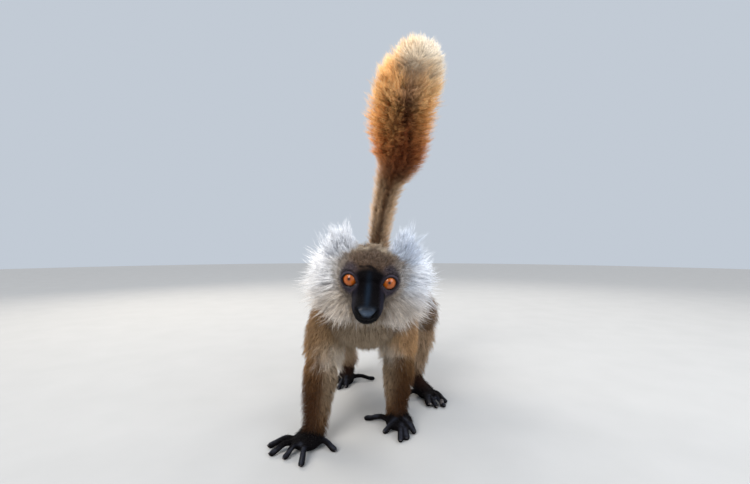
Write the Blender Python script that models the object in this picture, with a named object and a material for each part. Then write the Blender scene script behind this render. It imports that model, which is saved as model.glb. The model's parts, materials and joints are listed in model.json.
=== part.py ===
"""A female black lemur, life size, walking with her tail raised: a still museum model.

The animal faces -Y, +Z is up, and the floor is Z = 0. Sizes are written in millimetres for a
small adult and brought to life size by LIFE_SIZE. Every body part is one closed solid that
reaches out to the tips of the coat. Parts of one limb meet at a thin gap across the limb.
A piece that grows out of another one is cut back to that neighbour's swollen copy.
"""

import math

import bmesh
import bpy
from mathutils import Euler, Matrix, Vector

# ---------------------------------------------------------------- driving sizes (mm)
LIFE_SIZE = 1.04
MM = 0.001 * LIFE_SIZE
GAP = 0.0003
ORIGIN = Vector((-4.7, -61.3, 0.0))  # middle of the model's footprint

SPINE_SIDES, SPINE_RINGS = 18, 24
LIMB_SIDES, LIMB_RINGS = 12, 9
ROOT_SHRINK = 0.55  # how slim a bone starts, inside the part it grows from
BONE_ENDS = (((0.5, 0.8), (0.75, 0.35)), ((0.45, 0.85), (0.8, 0.5)))  # past the end, and how slim
TAIL_SIDES, TAIL_RINGS = 14, 28
DIGIT_SIDES, DIGIT_RINGS = 10, 8
HEAD_SIDES, HEAD_RINGS = 20, 22
HEAD_FACES = 730
X_AXIS, Z_AXIS = Vector((1, 0, 0)), Vector((0, 0, 1))

# The trunk from the buttocks to the nape: centre x, y, z, half width, half height.
SPINE = [
    (6, 134, 166, 8, 9),
    (6, 128, 167, 27, 31),
    (6, 110, 168, 43, 48),
    (5, 80, 167, 49, 54),
    (3, 44, 161, 50, 56),
    (-2, 0, 157, 50, 57),
    (-8, -50, 156, 50, 58),
    (-12, -98, 160, 50, 61),
    (-13, -132, 166, 45, 54),
    (-12, -158, 174, 38, 44),
    (-10, -182, 183, 34, 38),
    (-8, -206, 192, 30, 33),
]
RUMP_END, BELLY_END, CHEST_END = 0.30, 0.56, 0.84  # shares of the spine's rings

# The tail: stem, then the brush, then the hair tips.
TAIL = [
    (6, 104, 186, 22, 20),
    (7, 132, 210, 22, 20),
    (8, 148, 250, 21, 19),
    (15, 154, 300, 22, 20),
    (26, 148, 350, 25, 22),
    (36, 138, 378, 33, 30),
    (46, 122, 404, 48, 40),
    (46, 94, 438, 57, 44),
    (47, 64, 466, 62, 46),
    (53, 34, 488, 62, 45),
    (61, 6, 505, 56, 40),
    (67, -14, 518, 46, 32),
    (70, -26, 528, 30, 22),
    (71, -31, 535, 11, 9),
]
TAIL_CUTS = (0.30, 0.46, 0.66, 0.84)
TAIL_NAMES = ("tail_root", "tail_stem", "tail_brush_lower", "tail_brush_upper", "tail_tip")

# Limb joints.
SHOULDER = {"right": (-46, -110, 174), "left": (24, -100, 174)}
ELBOW = {"right": (-67, -86, 103), "left": (35, -55, 99)}
WRIST = {"right": (-71, -131, 18), "left": (28, -85, 18)}
HIP = {"right": (-24, 88, 180), "left": (31, 84, 180)}
KNEE = {"right": (-70, 2, 116), "left": (72, -20, 134)}
ANKLE = {"right": (-48, 84, 34), "left": (62, 33, 34)}

# Half sizes across (x) and along (y) of each limb at its root, middle and end.
UPPER_ARM = [(27, 34), (27, 31), (24, 26)]
FOREARM = [(23, 25), (22, 22), (19, 18), (14, 13.5)]
THIGH = [(26, 46), (25, 41), (20, 27)]
SHANK = [(19, 24), (17, 19), (13.5, 14.5), (11, 12)]

# Hands and feet: palm centre, then the root and tip of each digit, thumb or big toe first.
PALM = {"right": (-79, -142), "left": (31, -97)}
FINGERS = {
    "right": [((-64, -141), (-45, -153)), ((-78, -154), (-77, -181)), ((-88, -151), (-97, -168)),
              ((-94, -145), (-114, -161)), ((-96, -136), (-120, -145))],
    "left": [((19, -90), (-12, -77)), ((24, -106), (12, -113)), ((31, -110), (30, -133)),
             ((38, -108), (38, -128)), ((43, -101), (48, -114))],
}
BALL = {"right": (-50, 56), "left": (78, 1)}
TOES = {
    "right": [((-41, 66), (-3, 70)), ((-45, 47), (-47, 33)), ((-52, 45), (-59, 27)),
              ((-59, 48), (-70, 29)), ((-63, 55), (-80, 42))],
    "left": [((64, 4), (43, -12)), ((73, -9), (77, -36)), ((80, -10), (88, -42)),
             ((86, -6), (99, -40)), ((90, 1), (104, -25))],
}
HAND_FACES = 346
DIGIT_HALF = 3.7
KNUCKLE_RISE = 8.5

# The head in its own frame: X across, Y backwards, Z up, from the point between the eyeballs.
HEAD_AT = Vector((-4.5, -250.5, 199.5))
HEAD_TURN = Euler((math.radians(14.5), math.radians(4.7), math.radians(0.0)))
HEAD = [
    (0, 50, 1, 9, 8),
    (0, 46, 1, 20, 18),
    (0, 34, 0, 28.5, 25),
    (0, 18, -1, 31.5, 27),
    (0, 7, -2, 29.5, 26),
    (0, 1, -3.5, 27.5, 24.5),
    (0, -4, -6, 23.5, 21),
    (0, -7, -8, 18, 17.5),
    (0, -10, -9.6, 14.4, 14.8),
    (0, -17, -11.0, 12.8, 13),
    (0, -25, -12.0, 11.8, 11.8),
    (0, -32, -12.8, 10.8, 10.7),
    (0, -39, -13.8, 9.4, 9.2),
    (0, -44, -15, 6.6, 6.6),
    (0, -46, -15.4, 3, 4),
]
MUZZLE_FROM = 0.6  # share of the head's rings
JAW = [
    (0, 12, -17, 13, 4),
    (0, 6, -19.2, 17, 6),
    (0, -8, -20.2, 13.0, 6),
    (0, -22, -20.0, 9.2, 4.8),
    (0, -33, -19.6, 7.6, 4.0),
    (0, -38.5, -19.4, 5.2, 3.0),
    (0, -40.5, -19.2, 2, 1.5),
]
NOSE_PAD = [(0, -40, -9.6, 5.5, 3.6), (0, -44, -10.6, 6.6, 4.6), (0, -47.5, -12.4, 5.4, 4),
            (0, -49.2, -13.6, 2.4, 1.8)]
EYE_RADIUS = 7.4
EYE_AT = Vector((15.6, -4.0, 2.0))
EYE_OUTWARD, EYE_UP = 0.30, 0.06  # how far the gaze leans from straight ahead
LID_RADIUS, LID_THICK, LID_STEPS = 6.6, 1.8, 16
OPENING = 5.6  # half the width between the open lids

# The white fan of long hair round ears and cheeks, as reach from the head's axis. Each row is a
# place round the fan, in degrees from straight up, and how far the hair tips stand out there.
FAN_CENTRE = Vector((0.0, 27.0, -4.0))
EAR_FAN = [(20, 47), (27, 57), (38, 60), (50, 61), (62, 61), (73, 62)]
RUFF_FAN = [(73.4, 62), (84, 63), (96, 64), (108, 65), (120, 65), (132, 64), (144, 63), (155, 60),
            (164, 57), (171, 54)]
# One section of the fan: share of the reach (or a plain distance from the axis), and how far back.
FAN_SECTION = [(23, 0.0, -8), (36, 0.0, -9), (0, 0.82, 0), (0, 1.0, 11), (0, 0.94, 17),
               (0, 0.72, 24), (30, 0.0, 31), (23, 0.0, 28)]
FAN_END = 0.45  # how thin the fan is at its two ends


# ---------------------------------------------------------------- small tools
def blend_stations(stations, rings):
    """Rings spread evenly along a smooth curve through the stations, sizes included."""
    rows = [Vector(s) for s in stations]
    rows = [rows[0] * 2 - rows[1], *rows, rows[-1] * 2 - rows[-2]]
    found = []
    last = len(rows) - 3
    for i in range(rings):
        share = i / (rings - 1) * last
        k = min(int(share), last - 1)
        t = share - k
        a, b, c, d = rows[k : k + 4]
        found.append(
            0.5 * (2 * b + (c - a) * t + (2 * a - 5 * b + 4 * c - d) * t**2
                   + (3 * b - a - 3 * c + d) * t**3)
        )
    return found


def ring_frames(rows, across=X_AXIS):
    """One matrix for each ring: it places a unit circle square to the path."""
    centres = [Vector(r[:3]) for r in rows]
    frames = []
    for i, row in enumerate(rows):
        ahead = (centres[min(i + 1, len(rows) - 1)] - centres[max(i - 1, 0)]).normalized()
        side = (across - ahead * across.dot(ahead)).normalized()
        rise = ahead.cross(side)
        turn = Matrix((side * max(row[3], 0.4), rise * max(row[4], 0.4), ahead)).transposed()
        frames.append(Matrix.Translation(centres[i]) @ turn.to_4x4())
    return frames


def loft(frames, sides):
    """A closed skin through the rings, made by drawing one circle along them."""
    bm = bmesh.new()
    bmesh.ops.create_circle(bm, segments=sides, radius=1.0, matrix=frames[0])
    loop = bm.edges[:]
    for before, after in zip(frames, frames[1:]):
        made = bmesh.ops.extrude_edge_only(bm, edges=loop)["geom"]
        fresh = [g for g in made if isinstance(g, bmesh.types.BMVert)]
        known = set(fresh)
        loop = [g for g in made if isinstance(g, bmesh.types.BMEdge) and set(g.verts) <= known]
        bmesh.ops.transform(bm, matrix=after @ before.inverted(), verts=fresh)
    bmesh.ops.holes_fill(bm, edges=[e for e in bm.edges if e.is_boundary], sides=0)
    bmesh.ops.recalc_face_normals(bm, faces=bm.faces)
    return bm


def split_frames(frames, shares):
    """Runs of rings between the shares. Each later run starts one gap further on."""
    marks = [0, *(round(s * (len(frames) - 1)) for s in shares), len(frames) - 1]
    runs = []
    for first, last in zip(marks, marks[1:]):
        run = frames[first : last + 1]
        if first:
            ahead = run[0].col[2].xyz.normalized()
            run[0] = Matrix.Translation(ahead * GAP / MM) @ run[0]
        runs.append(run)
    return runs


def material(name, colour, roughness):
    made = bpy.data.materials.get(name) or bpy.data.materials.new(name)
    made.use_nodes = True
    shader = made.node_tree.nodes["Principled BSDF"]
    shader.inputs["Base Color"].default_value = (*colour, 1.0)
    shader.inputs["Roughness"].default_value = roughness
    made.diffuse_color = (*colour, 1.0)
    return made


FINISHES = {
    "coat_brown": ((0.30, 0.19, 0.11), 0.9),
    "coat_crown": ((0.20, 0.15, 0.11), 0.9),
    "coat_white": ((0.80, 0.77, 0.71), 0.9),
    "coat_tail": ((0.45, 0.18, 0.06), 0.9),
    "bare_skin": ((0.02, 0.02, 0.024), 0.5),
    "eye": ((0.70, 0.24, 0.04), 0.1),
}


def place(name, bm, finish, pose=None):
    """Turns a sketch in millimetres into the named solid, in the model's frame."""
    if pose is not None:
        bm.transform(pose)
    bm.transform(Matrix.Scale(MM, 4) @ Matrix.Translation(-ORIGIN))
    mesh = bpy.data.meshes.new(name)
    bm.to_mesh(mesh)
    bm.free()
    mesh.shade_smooth()
    obj = bpy.data.objects.new(name, mesh)
    obj.data.materials.append(material(finish, *FINISHES[finish]))
    bpy.context.scene.collection.objects.link(obj)
    return obj


def swollen(obj):
    """A copy that stands one gap proud all round, used only to cut its neighbours."""
    name = obj.name + "_swollen"
    if name not in bpy.data.objects:
        copy = bpy.data.objects.new(name, obj.data.copy())
        bpy.context.scene.collection.objects.link(copy)
        for modifier in obj.modifiers:
            same = copy.modifiers.new(modifier.name, "BOOLEAN")
            same.operation, same.object = modifier.operation, modifier.object
        swell = copy.modifiers.new("swell", "DISPLACE")
        swell.mid_level, swell.strength = 0.0, GAP * 1.2
        copy.hide_render, copy.display_type = True, "WIRE"
    return bpy.data.objects[name]


def cut_back(obj, *neighbours):
    """Takes the neighbours, and a thin gap round them, out of the solid."""
    for neighbour in neighbours:
        cut = obj.modifiers.new("clear_" + neighbour.name, "BOOLEAN")
        cut.operation = "DIFFERENCE"
        cut.object = swollen(neighbour)


def fuse(shells, grain, faces):
    """Melts overlapping closed sketches into one, with soft creases and about so many faces."""
    mesh = bpy.data.meshes.new("sketch")
    whole = bmesh.new()
    for shell in shells:
        shell.to_mesh(mesh)
        shell.free()
        whole.from_mesh(mesh)
    whole.to_mesh(mesh)
    whole.free()
    obj = bpy.data.objects.new("sketch", mesh)
    bpy.context.scene.collection.objects.link(obj)
    remesh = obj.modifiers.new("remesh", "REMESH")
    remesh.mode, remesh.voxel_size = "VOXEL", grain
    soften = obj.modifiers.new("soften", "SMOOTH")
    soften.factor, soften.iterations = 0.5, 3
    graph = bpy.context.evaluated_depsgraph_get()
    found = len(obj.evaluated_get(graph).data.polygons)
    thin = obj.modifiers.new("thin", "DECIMATE")
    thin.ratio = min(1.0, faces / (2 * found))
    graph = bpy.context.evaluated_depsgraph_get()
    bm = bmesh.new()
    bm.from_mesh(obj.evaluated_get(graph).data)
    bpy.data.objects.remove(obj)
    bpy.data.meshes.remove(mesh)
    return bm


def stand_flat(bm):
    """Cuts a sketch off at the floor, so that it stands on a flat."""
    geom = bm.verts[:] + bm.edges[:] + bm.faces[:]
    bmesh.ops.bisect_plane(bm, geom=geom, plane_co=(0, 0, 0), plane_no=(0, 0, -1), clear_outer=True)
    bmesh.ops.holes_fill(bm, edges=[e for e in bm.edges if e.is_boundary], sides=0)
    bmesh.ops.remove_doubles(bm, verts=bm.verts, dist=0.02)
    bmesh.ops.triangulate(bm, faces=bm.faces)
    bmesh.ops.recalc_face_normals(bm, faces=bm.faces)


# ---------------------------------------------------------------- trunk and tail
def build_spine():
    frames = ring_frames(blend_stations(SPINE, SPINE_RINGS))
    runs = split_frames(frames, (RUMP_END, BELLY_END, CHEST_END))
    names = ("rump", "belly", "chest", "neck")
    return {n: place(n, loft(run, SPINE_SIDES), "coat_brown") for n, run in zip(names, runs)}


def build_tail(rump):
    runs = split_frames(ring_frames(blend_stations(TAIL, TAIL_RINGS)), TAIL_CUTS)
    for name, run in zip(TAIL_NAMES, runs):
        part = place(name, loft(run, TAIL_SIDES), "coat_tail")
        if name == TAIL_NAMES[0]:
            cut_back(part, rump)


# ---------------------------------------------------------------- limbs
def bone_rows(start, end, halves, ending):
    """Stations along one bone with the flesh's half sizes, slim at its root, round at its end."""
    start, end = Vector(start), Vector(end)
    ahead = (end - start).normalized()
    last = len(halves) - 1
    rows = [(*start.lerp(end, i / last), *half) for i, half in enumerate(halves)]
    wide, deep = halves[0]
    rows[0] = (*start, wide * ROOT_SHRINK, deep * ROOT_SHRINK)
    wide, deep = halves[-1]
    for reach, shrink in ending:
        centre = end + ahead * reach * 0.5 * (wide + deep)
        rows.append((*centre, wide * shrink, deep * shrink))
    return rows


def build_limb(side, joints, halves, names, trunk):
    """Two lengths of a limb. The lower one is cut back to the rounded end of the upper."""
    parts = []
    for name, start, end, half, ending in zip(names, joints, joints[1:], halves, BONE_ENDS):
        frames = ring_frames(blend_stations(bone_rows(start, end, half, ending), LIMB_RINGS))
        part = place(f"{name}_{side}", loft(frames, LIMB_SIDES), "coat_brown")
        cut_back(part, *parts, *trunk)
        parts.append(part)
    return parts


# ---------------------------------------------------------------- hands and feet
def digit_rows(root, tip, root_height):
    """A digit that arches up to its knuckle and comes down to a pad on the floor."""
    root, tip = Vector((*root, root_height)), Vector((*tip, DIGIT_HALF - 0.7))
    rows = []
    for i in range(DIGIT_RINGS):
        t = i / (DIGIT_RINGS - 1)
        centre = root.lerp(tip, t)
        centre.z += KNUCKLE_RISE * 0.45 * math.sin(math.pi * min(1.0, t * 1.25))
        half = DIGIT_HALF * (1.05 - 0.13 * math.sin(math.pi * t))
        rows.append(Vector((*centre, half, half * 0.92)))
    ahead = (tip - root).normalized()
    for reach, shrink in ((2.0, 0.78), (3.2, 0.35)):
        end = Vector((*(tip + ahead * reach), DIGIT_HALF * shrink, DIGIT_HALF * shrink * 0.9))
        rows.append(end)
    return rows


def digit_shells(digits, root_height):
    shells = []
    for root, tip in digits:
        across = (Vector((*tip, 0)) - Vector((*root, 0))).cross(Z_AXIS).normalized()
        shells.append(loft(ring_frames(digit_rows(root, tip, root_height), across), DIGIT_SIDES))
    return shells


def build_hand(side, forearm):
    wrist, (x, y) = Vector(WRIST[side]), PALM[side]
    ahead = (Vector((x, y, 0)) - Vector((wrist.x, wrist.y, 0))).normalized()
    heel = wrist - ahead * 10
    stations = [
        (heel.x, heel.y, 10, 6, 6),
        (wrist.x, wrist.y, 11, 11.5, 11.5),
        (wrist.x * 0.45 + x * 0.55, wrist.y * 0.45 + y * 0.55, 9, 16, 9.5),
        (x, y, 6.8, 18, 8),
        (x + ahead.x * 9, y + ahead.y * 9, 6.2, 14, 6.5),
        (x + ahead.x * 13, y + ahead.y * 13, 5.4, 7, 4),
    ]
    palm = loft(ring_frames(blend_stations(stations, 12), ahead.cross(Z_AXIS)), LIMB_SIDES)
    bm = fuse([palm, *digit_shells(FINGERS[side], 6.0)], 1.6, HAND_FACES)
    stand_flat(bm)
    cut_back(place(f"hand_{side}", bm, "bare_skin"), forearm)


def build_foot(side, shank):
    ankle, (x, y) = Vector(ANKLE[side]), BALL[side]
    ahead = (Vector((x, y, 0)) - Vector((ankle.x, ankle.y, 0))).normalized()
    heel = ankle - ahead * 13
    stations = [
        (heel.x - ahead.x * 4, heel.y - ahead.y * 4, 20, 3.5, 5),
        (heel.x, heel.y, 20, 8, 10),
        (ankle.x, ankle.y, 20, 10.5, 14),
        (ankle.x * 0.5 + x * 0.5, ankle.y * 0.5 + y * 0.5, 12, 11.5, 10),
        (x, y, 6.6, 15, 8),
        (x + ahead.x * 9, y + ahead.y * 9, 6, 12, 6.5),
        (x + ahead.x * 13, y + ahead.y * 13, 5.2, 6, 4),
    ]
    sole = loft(ring_frames(blend_stations(stations, 14), ahead.cross(Z_AXIS)), LIMB_SIDES)
    bm = fuse([sole, *digit_shells(TOES[side], 6.0)], 1.6, HAND_FACES)
    stand_flat(bm)
    cut_back(place(f"foot_{side}", bm, "bare_skin"), shank)


# ---------------------------------------------------------------- head
HEAD_POSE = Matrix.Translation(HEAD_AT) @ HEAD_TURN.to_matrix().to_4x4()
SIDES = {"right": -1, "left": 1}


def eye_frame(sign):
    """Where the eyeball's centre is, and which ways its gaze, side and top face."""
    look = Vector((sign * EYE_OUTWARD, -1.0, EYE_UP)).normalized()
    side = look.cross(Z_AXIS).normalized()
    return Vector((sign * EYE_AT.x, EYE_AT.y, EYE_AT.z)), look, side, side.cross(look)


def eye_opening(side, sign):
    """A hidden cutter: the flared way in between the lids, down to the eyeball."""
    eye, look, _, _ = eye_frame(sign)
    reaches = [(0, OPENING), (EYE_RADIUS, OPENING), (2.6 * EYE_RADIUS, 1.5 * OPENING)]
    rows = [Vector((*(eye + look * reach), wide, wide)) for reach, wide in reaches]
    cutter = place(f"opening_{side}", loft(ring_frames(rows), LID_STEPS), "bare_skin", HEAD_POSE)
    cutter.hide_render, cutter.display_type = True, "WIRE"
    return cutter


def lid_ring(sign):
    """The raised rim of the eyelids: a ring of flesh round the front of the eyeball."""
    eye, look, side, rise = eye_frame(sign)
    middle = eye + look * math.sqrt(EYE_RADIUS**2 - LID_RADIUS**2)
    bm = bmesh.new()
    rings = []
    for i in range(LID_STEPS):
        turn = 2 * math.pi * i / LID_STEPS
        outward = side * math.cos(turn) + rise * math.sin(turn)
        frame = Matrix((outward * LID_THICK, look * LID_THICK, outward.cross(look))).transposed()
        frame = Matrix.Translation(middle + outward * LID_RADIUS) @ frame.to_4x4()
        rings.append(bmesh.ops.create_circle(bm, segments=6, radius=1.0, matrix=frame)["verts"])
    for a, b in zip(rings, rings[1:] + rings[:1]):
        for k in range(6):
            bm.faces.new((a[k], a[(k + 1) % 6], b[(k + 1) % 6], b[k]))
    bmesh.ops.recalc_face_normals(bm, faces=bm.faces)
    return bm


def build_head(neck):
    frames = ring_frames(blend_stations(HEAD, HEAD_RINGS))
    skull_rings, muzzle_rings = split_frames(frames, (MUZZLE_FROM,))
    eyes = {}
    for side, sign in SIDES.items():
        bm = bmesh.new()
        bmesh.ops.create_icosphere(bm, subdivisions=2, radius=EYE_RADIUS,
                                   matrix=Matrix.Translation((sign * EYE_AT.x, EYE_AT.y, EYE_AT.z)))
        eyes[side] = place(f"eye_{side}", bm, "eye", HEAD_POSE)
    jaw = place("jaw", loft(ring_frames(blend_stations(JAW, 10)), 14), "bare_skin", HEAD_POSE)
    muzzle = place("muzzle", loft(muzzle_rings, HEAD_SIDES), "bare_skin", HEAD_POSE)
    cut_back(muzzle, jaw, *eyes.values())
    skull = [loft(skull_rings, HEAD_SIDES), *(lid_ring(sign) for sign in SIDES.values())]
    head = place("head", fuse(skull, 1.3, HEAD_FACES), "coat_crown", HEAD_POSE)
    cut_back(head, jaw, muzzle, *eyes.values())
    for side, sign in SIDES.items():
        opening = head.modifiers.new(f"opening_{side}", "BOOLEAN")
        opening.operation, opening.object = "DIFFERENCE", eye_opening(side, sign)
    nose = place("nose", loft(ring_frames(blend_stations(NOSE_PAD, 7)), 12), "bare_skin", HEAD_POSE)
    cut_back(nose, muzzle)
    cut_back(neck, head)
    return head, jaw


def fan_rows(stations, sign, thin_first, thin_last):
    """Wedge-shaped sections of the fan of hair, set round the head's axis."""
    rows = []
    for i, (angle, reach) in enumerate(stations):
        turn = math.radians(angle)
        outward = Vector((sign * math.sin(turn), 0, math.cos(turn)))
        thin = (i == 0 and thin_first) or (i == len(stations) - 1 and thin_last)
        deep = FAN_END if thin else 1.0
        rows.append(
            [
                FAN_CENTRE + outward * (plain + share * reach) + Vector((0, back * deep, 0))
                for plain, share, back in FAN_SECTION
            ]
        )
    return rows


def build_fan(name, stations, side, ends, *inner):
    bm = bmesh.new()
    rows = fan_rows(stations, SIDES[side], *ends)
    rings = [[bm.verts.new(p) for p in row] for row in rows]
    for a, b in zip(rings, rings[1:]):
        for k in range(len(a)):
            j = (k + 1) % len(a)
            bm.faces.new((a[k], a[j], b[j], b[k]))
    bmesh.ops.holes_fill(bm, edges=[e for e in bm.edges if e.is_boundary], sides=0)
    bmesh.ops.recalc_face_normals(bm, faces=bm.faces)
    fan = place(f"{name}_{side}", bm, "coat_white", HEAD_POSE)
    cut_back(fan, *inner)


# ---------------------------------------------------------------- the whole animal
def build():
    for obj in list(bpy.data.objects):
        bpy.data.objects.remove(obj)
    trunk = build_spine()
    build_tail(trunk["rump"])
    for side in SIDES:
        arm = build_limb(side, (SHOULDER[side], ELBOW[side], WRIST[side]), (UPPER_ARM, FOREARM),
                         ("upper_arm", "forearm"), (trunk["chest"], trunk["neck"], trunk["belly"]))
        leg = build_limb(side, (HIP[side], KNEE[side], ANKLE[side]), (THIGH, SHANK),
                         ("thigh", "shank"), (trunk["rump"], trunk["belly"], trunk["chest"]))
        build_hand(side, arm[1])
        build_foot(side, leg[1])
    head, jaw = build_head(trunk["neck"])
    for side in SIDES:
        build_fan("ear", EAR_FAN, side, (True, False), head, trunk["neck"])
        build_fan("ruff", RUFF_FAN, side, (False, True), head, jaw, trunk["neck"], trunk["chest"])


build()
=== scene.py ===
# %% [markdown]
# # A female black lemur, life size, as a still museum model
#
# The solids give the outline out to the tips of the coat. A museum model is made the other way
# round: a bare, painted mannikin first, and then the hair on top of it. This script does the
# same. It sinks the solids into one skin, carves lids, nostrils and lips into it, sets the eyes
# and nails, and then plants the coat in small solid tufts that follow the lie of the hair.

import json
import math

import bmesh
import bpy
import numpy as np
from mathutils import Euler, Matrix, Vector
from mathutils.bvhtree import BVHTree
from mathutils.kdtree import KDTree

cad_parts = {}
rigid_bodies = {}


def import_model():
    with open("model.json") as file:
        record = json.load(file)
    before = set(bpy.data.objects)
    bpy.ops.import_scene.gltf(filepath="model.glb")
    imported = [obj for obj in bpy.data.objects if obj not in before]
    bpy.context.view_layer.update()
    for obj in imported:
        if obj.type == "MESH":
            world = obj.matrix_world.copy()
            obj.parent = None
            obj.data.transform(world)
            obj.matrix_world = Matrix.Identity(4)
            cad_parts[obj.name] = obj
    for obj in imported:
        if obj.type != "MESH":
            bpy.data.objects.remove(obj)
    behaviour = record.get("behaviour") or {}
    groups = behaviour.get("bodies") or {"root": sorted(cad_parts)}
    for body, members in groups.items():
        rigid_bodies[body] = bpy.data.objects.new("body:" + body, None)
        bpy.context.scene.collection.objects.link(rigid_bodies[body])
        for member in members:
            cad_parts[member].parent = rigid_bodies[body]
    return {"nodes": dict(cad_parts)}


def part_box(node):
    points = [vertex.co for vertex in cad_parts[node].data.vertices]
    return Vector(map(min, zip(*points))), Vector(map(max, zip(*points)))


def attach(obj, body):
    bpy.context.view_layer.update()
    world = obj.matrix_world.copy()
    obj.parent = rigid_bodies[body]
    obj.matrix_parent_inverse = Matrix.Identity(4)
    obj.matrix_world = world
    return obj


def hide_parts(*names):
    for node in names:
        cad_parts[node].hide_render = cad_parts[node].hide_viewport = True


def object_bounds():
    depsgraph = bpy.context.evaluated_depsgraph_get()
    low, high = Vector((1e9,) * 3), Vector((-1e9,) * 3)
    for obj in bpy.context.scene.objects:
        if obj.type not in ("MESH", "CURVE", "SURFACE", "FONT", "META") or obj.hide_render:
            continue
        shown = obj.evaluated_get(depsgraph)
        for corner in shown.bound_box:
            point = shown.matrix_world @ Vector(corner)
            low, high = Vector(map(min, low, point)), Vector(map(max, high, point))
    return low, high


for leftover in list(bpy.data.objects):
    bpy.data.objects.remove(leftover)
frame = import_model()
nodes = frame["nodes"]
solid_box = [list(corner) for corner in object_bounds()]
MM = 0.001
SIDES = {"right": -1, "left": 1}
rng = np.random.default_rng(11)
print("packed solids:", len(nodes), "box", solid_box)

# %% [markdown]
# ## Camera, floor and light
#
# The animal is met at its own eye height, from a quarter of a metre before its nose, with a wide
# lens: that makes the head large and the hind feet small. The floor is a plain pale sheet. A wide
# soft sun from the upper left is the key, with a weak fill, a sky lamp overhead and two lamps
# behind that make the hair tips glow. All are broad because a small lamp cuts hard shadows.

# %% Camera
CAMERA_GAP, CAMERA_HEIGHT, CAMERA_ASIDE = 0.2747, 0.235, 0.0049
CAMERA_TILT = math.radians(1.273)  # above level
SENSOR, LENS_SHARE = 36, 0.48  # picture width in mm, and the focal length as a share of it


def put_in_scene(name, data):
    """An object made of this data and linked into the scene."""
    obj = bpy.data.objects.new(name, data)
    bpy.context.scene.collection.objects.link(obj)
    return obj


camera = put_in_scene("camera", bpy.data.cameras.new("camera"))
camera.location = (CAMERA_ASIDE, solid_box[0][1] - CAMERA_GAP, CAMERA_HEIGHT)
camera.rotation_euler = (math.radians(90) + CAMERA_TILT, 0, 0)
camera.data.sensor_width = SENSOR
camera.data.lens = SENSOR * LENS_SHARE
camera.data.clip_start = 0.01
bpy.context.scene.camera = camera
print("camera at", [round(x, 3) for x in camera.location])

# %% Making meshes, nodes and materials
def mesh_of(bm, name):
    mesh = bpy.data.meshes.new(name)
    bm.to_mesh(mesh)
    bm.free()
    return mesh


def link_in(node, socket, value):
    """Feeds a socket from another node's output, or sets it."""
    if isinstance(value, bpy.types.NodeSocket):
        node.id_data.links.new(value, node.inputs[socket])
    else:
        node.inputs[socket].default_value = value


def add_node(tree, kind, settings=None, **inputs):
    """Adds a shader node. Settings are its properties, and inputs its sockets by name."""
    node = tree.nodes.new(f"ShaderNode{kind}")
    for key, value in (settings or {}).items():
        setattr(node, key, value)
    for key, value in inputs.items():
        link_in(node, key.replace("_", " "), value)
    return node


def worked(tree, kind, operation, *values):
    """The output of a Math or VectorMath node with these values in its sockets."""
    node = add_node(tree, kind, {"operation": operation})
    sockets = (0, "Scale") if operation == "SCALE" else range(len(values))
    for socket, value in zip(sockets, values):
        link_in(node, socket, value)
    return node.outputs["Value" if kind == "Math" or operation == "LENGTH" else "Vector"]


def mapped(tree, value, **ends):
    """A value carried from one range to another."""
    return add_node(tree, "MapRange", Value=value, **ends).outputs["Result"]


def new_material(name, **inputs):
    made = bpy.data.materials.new(name)
    made.use_nodes = True
    shader = made.node_tree.nodes["Principled BSDF"]
    for key, value in inputs.items():
        link_in(shader, key.replace("_", " "), value)
    return made, made.node_tree, shader


print("helpers for objects, nodes and materials are ready")

# %% Floor and lamps
circle = bmesh.new()
bmesh.ops.create_circle(circle, cap_ends=True, segments=96, radius=6.0)
floor = put_in_scene("floor", mesh_of(circle, "floor"))
floor_paint, tree, shader = new_material("floor_paper", Roughness=0.9)
grain = add_node(tree, "TexNoise", Scale=140.0, Detail=4.0)
link_in(shader, "Base Color", mapped(tree, grain.outputs["Fac"], To_Min=0.38, To_Max=0.43))
floor.data.materials.append(floor_paint)

LAMPS = {  # name: (place, height of the spot aimed at, size, watts, colour)
    "key_sun": ((-0.9, -1.3, 1.5), 0.25, 1.0, 1, (1.0, 0.96, 0.90)),
    "fill_lamp": ((1.2, -1.1, 0.8), 0.3, 1.2, 14, (0.95, 0.97, 1.0)),
    "sky_lamp": ((0.15, -0.35, 1.7), 0.25, 1.2, 9, (0.82, 0.90, 1.0)),
    "back_lamp_left": ((-1.1, 1.2, 1.3), 0.35, 0.8, 19, (1.0, 0.90, 0.76)),
    "back_lamp_right": ((1.0, 1.4, 1.5), 0.35, 0.8, 13, (1.0, 0.94, 0.85)),
}
for name, (place, aim, size, watts, colour) in LAMPS.items():
    lamp = bpy.data.lights.new(name, "AREA")
    lamp.shape, lamp.size, lamp.energy, lamp.color = "DISK", size, watts, colour
    lamp_object = put_in_scene(name, lamp)
    lamp_object.location = place
    way = Vector((0, 0, aim)) - Vector(place)
    lamp_object.rotation_euler = way.to_track_quat("-Z", "Y").to_euler()
bpy.data.lights["key_sun"].type = "SUN"  # it lights the floor evenly, out to its far edge
sun = bpy.data.lights["key_sun"]
sun.angle, sun.energy = math.radians(35), 2.9
world = bpy.data.worlds.new("studio")
world.use_nodes = True
background = world.node_tree.nodes["Background"]
link_in(background, "Color", (0.60, 0.66, 0.74, 1))
link_in(background, "Strength", 0.9)
bpy.context.scene.world = world
bpy.context.scene.view_settings.view_transform = "Standard"  # colours as they are, unsoftened
print("lamps:", list(LAMPS))

# %% [markdown]
# ## Bone lines
#
# Hair lies along the bones under it, from the nose to the tail tip and down each leg, so the
# skin's depth and the lie of the coat are both measured from a line through each part. The
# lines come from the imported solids: the middle of a part, or the middle of one of its ends.

# %% Measuring the solids
def solid_copy(name):
    """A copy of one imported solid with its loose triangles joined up."""
    bm = bmesh.new()
    bm.from_mesh(nodes[name].data)
    bmesh.ops.remove_doubles(bm, verts=bm.verts, dist=1e-6)
    bm.normal_update()
    return bm


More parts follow.
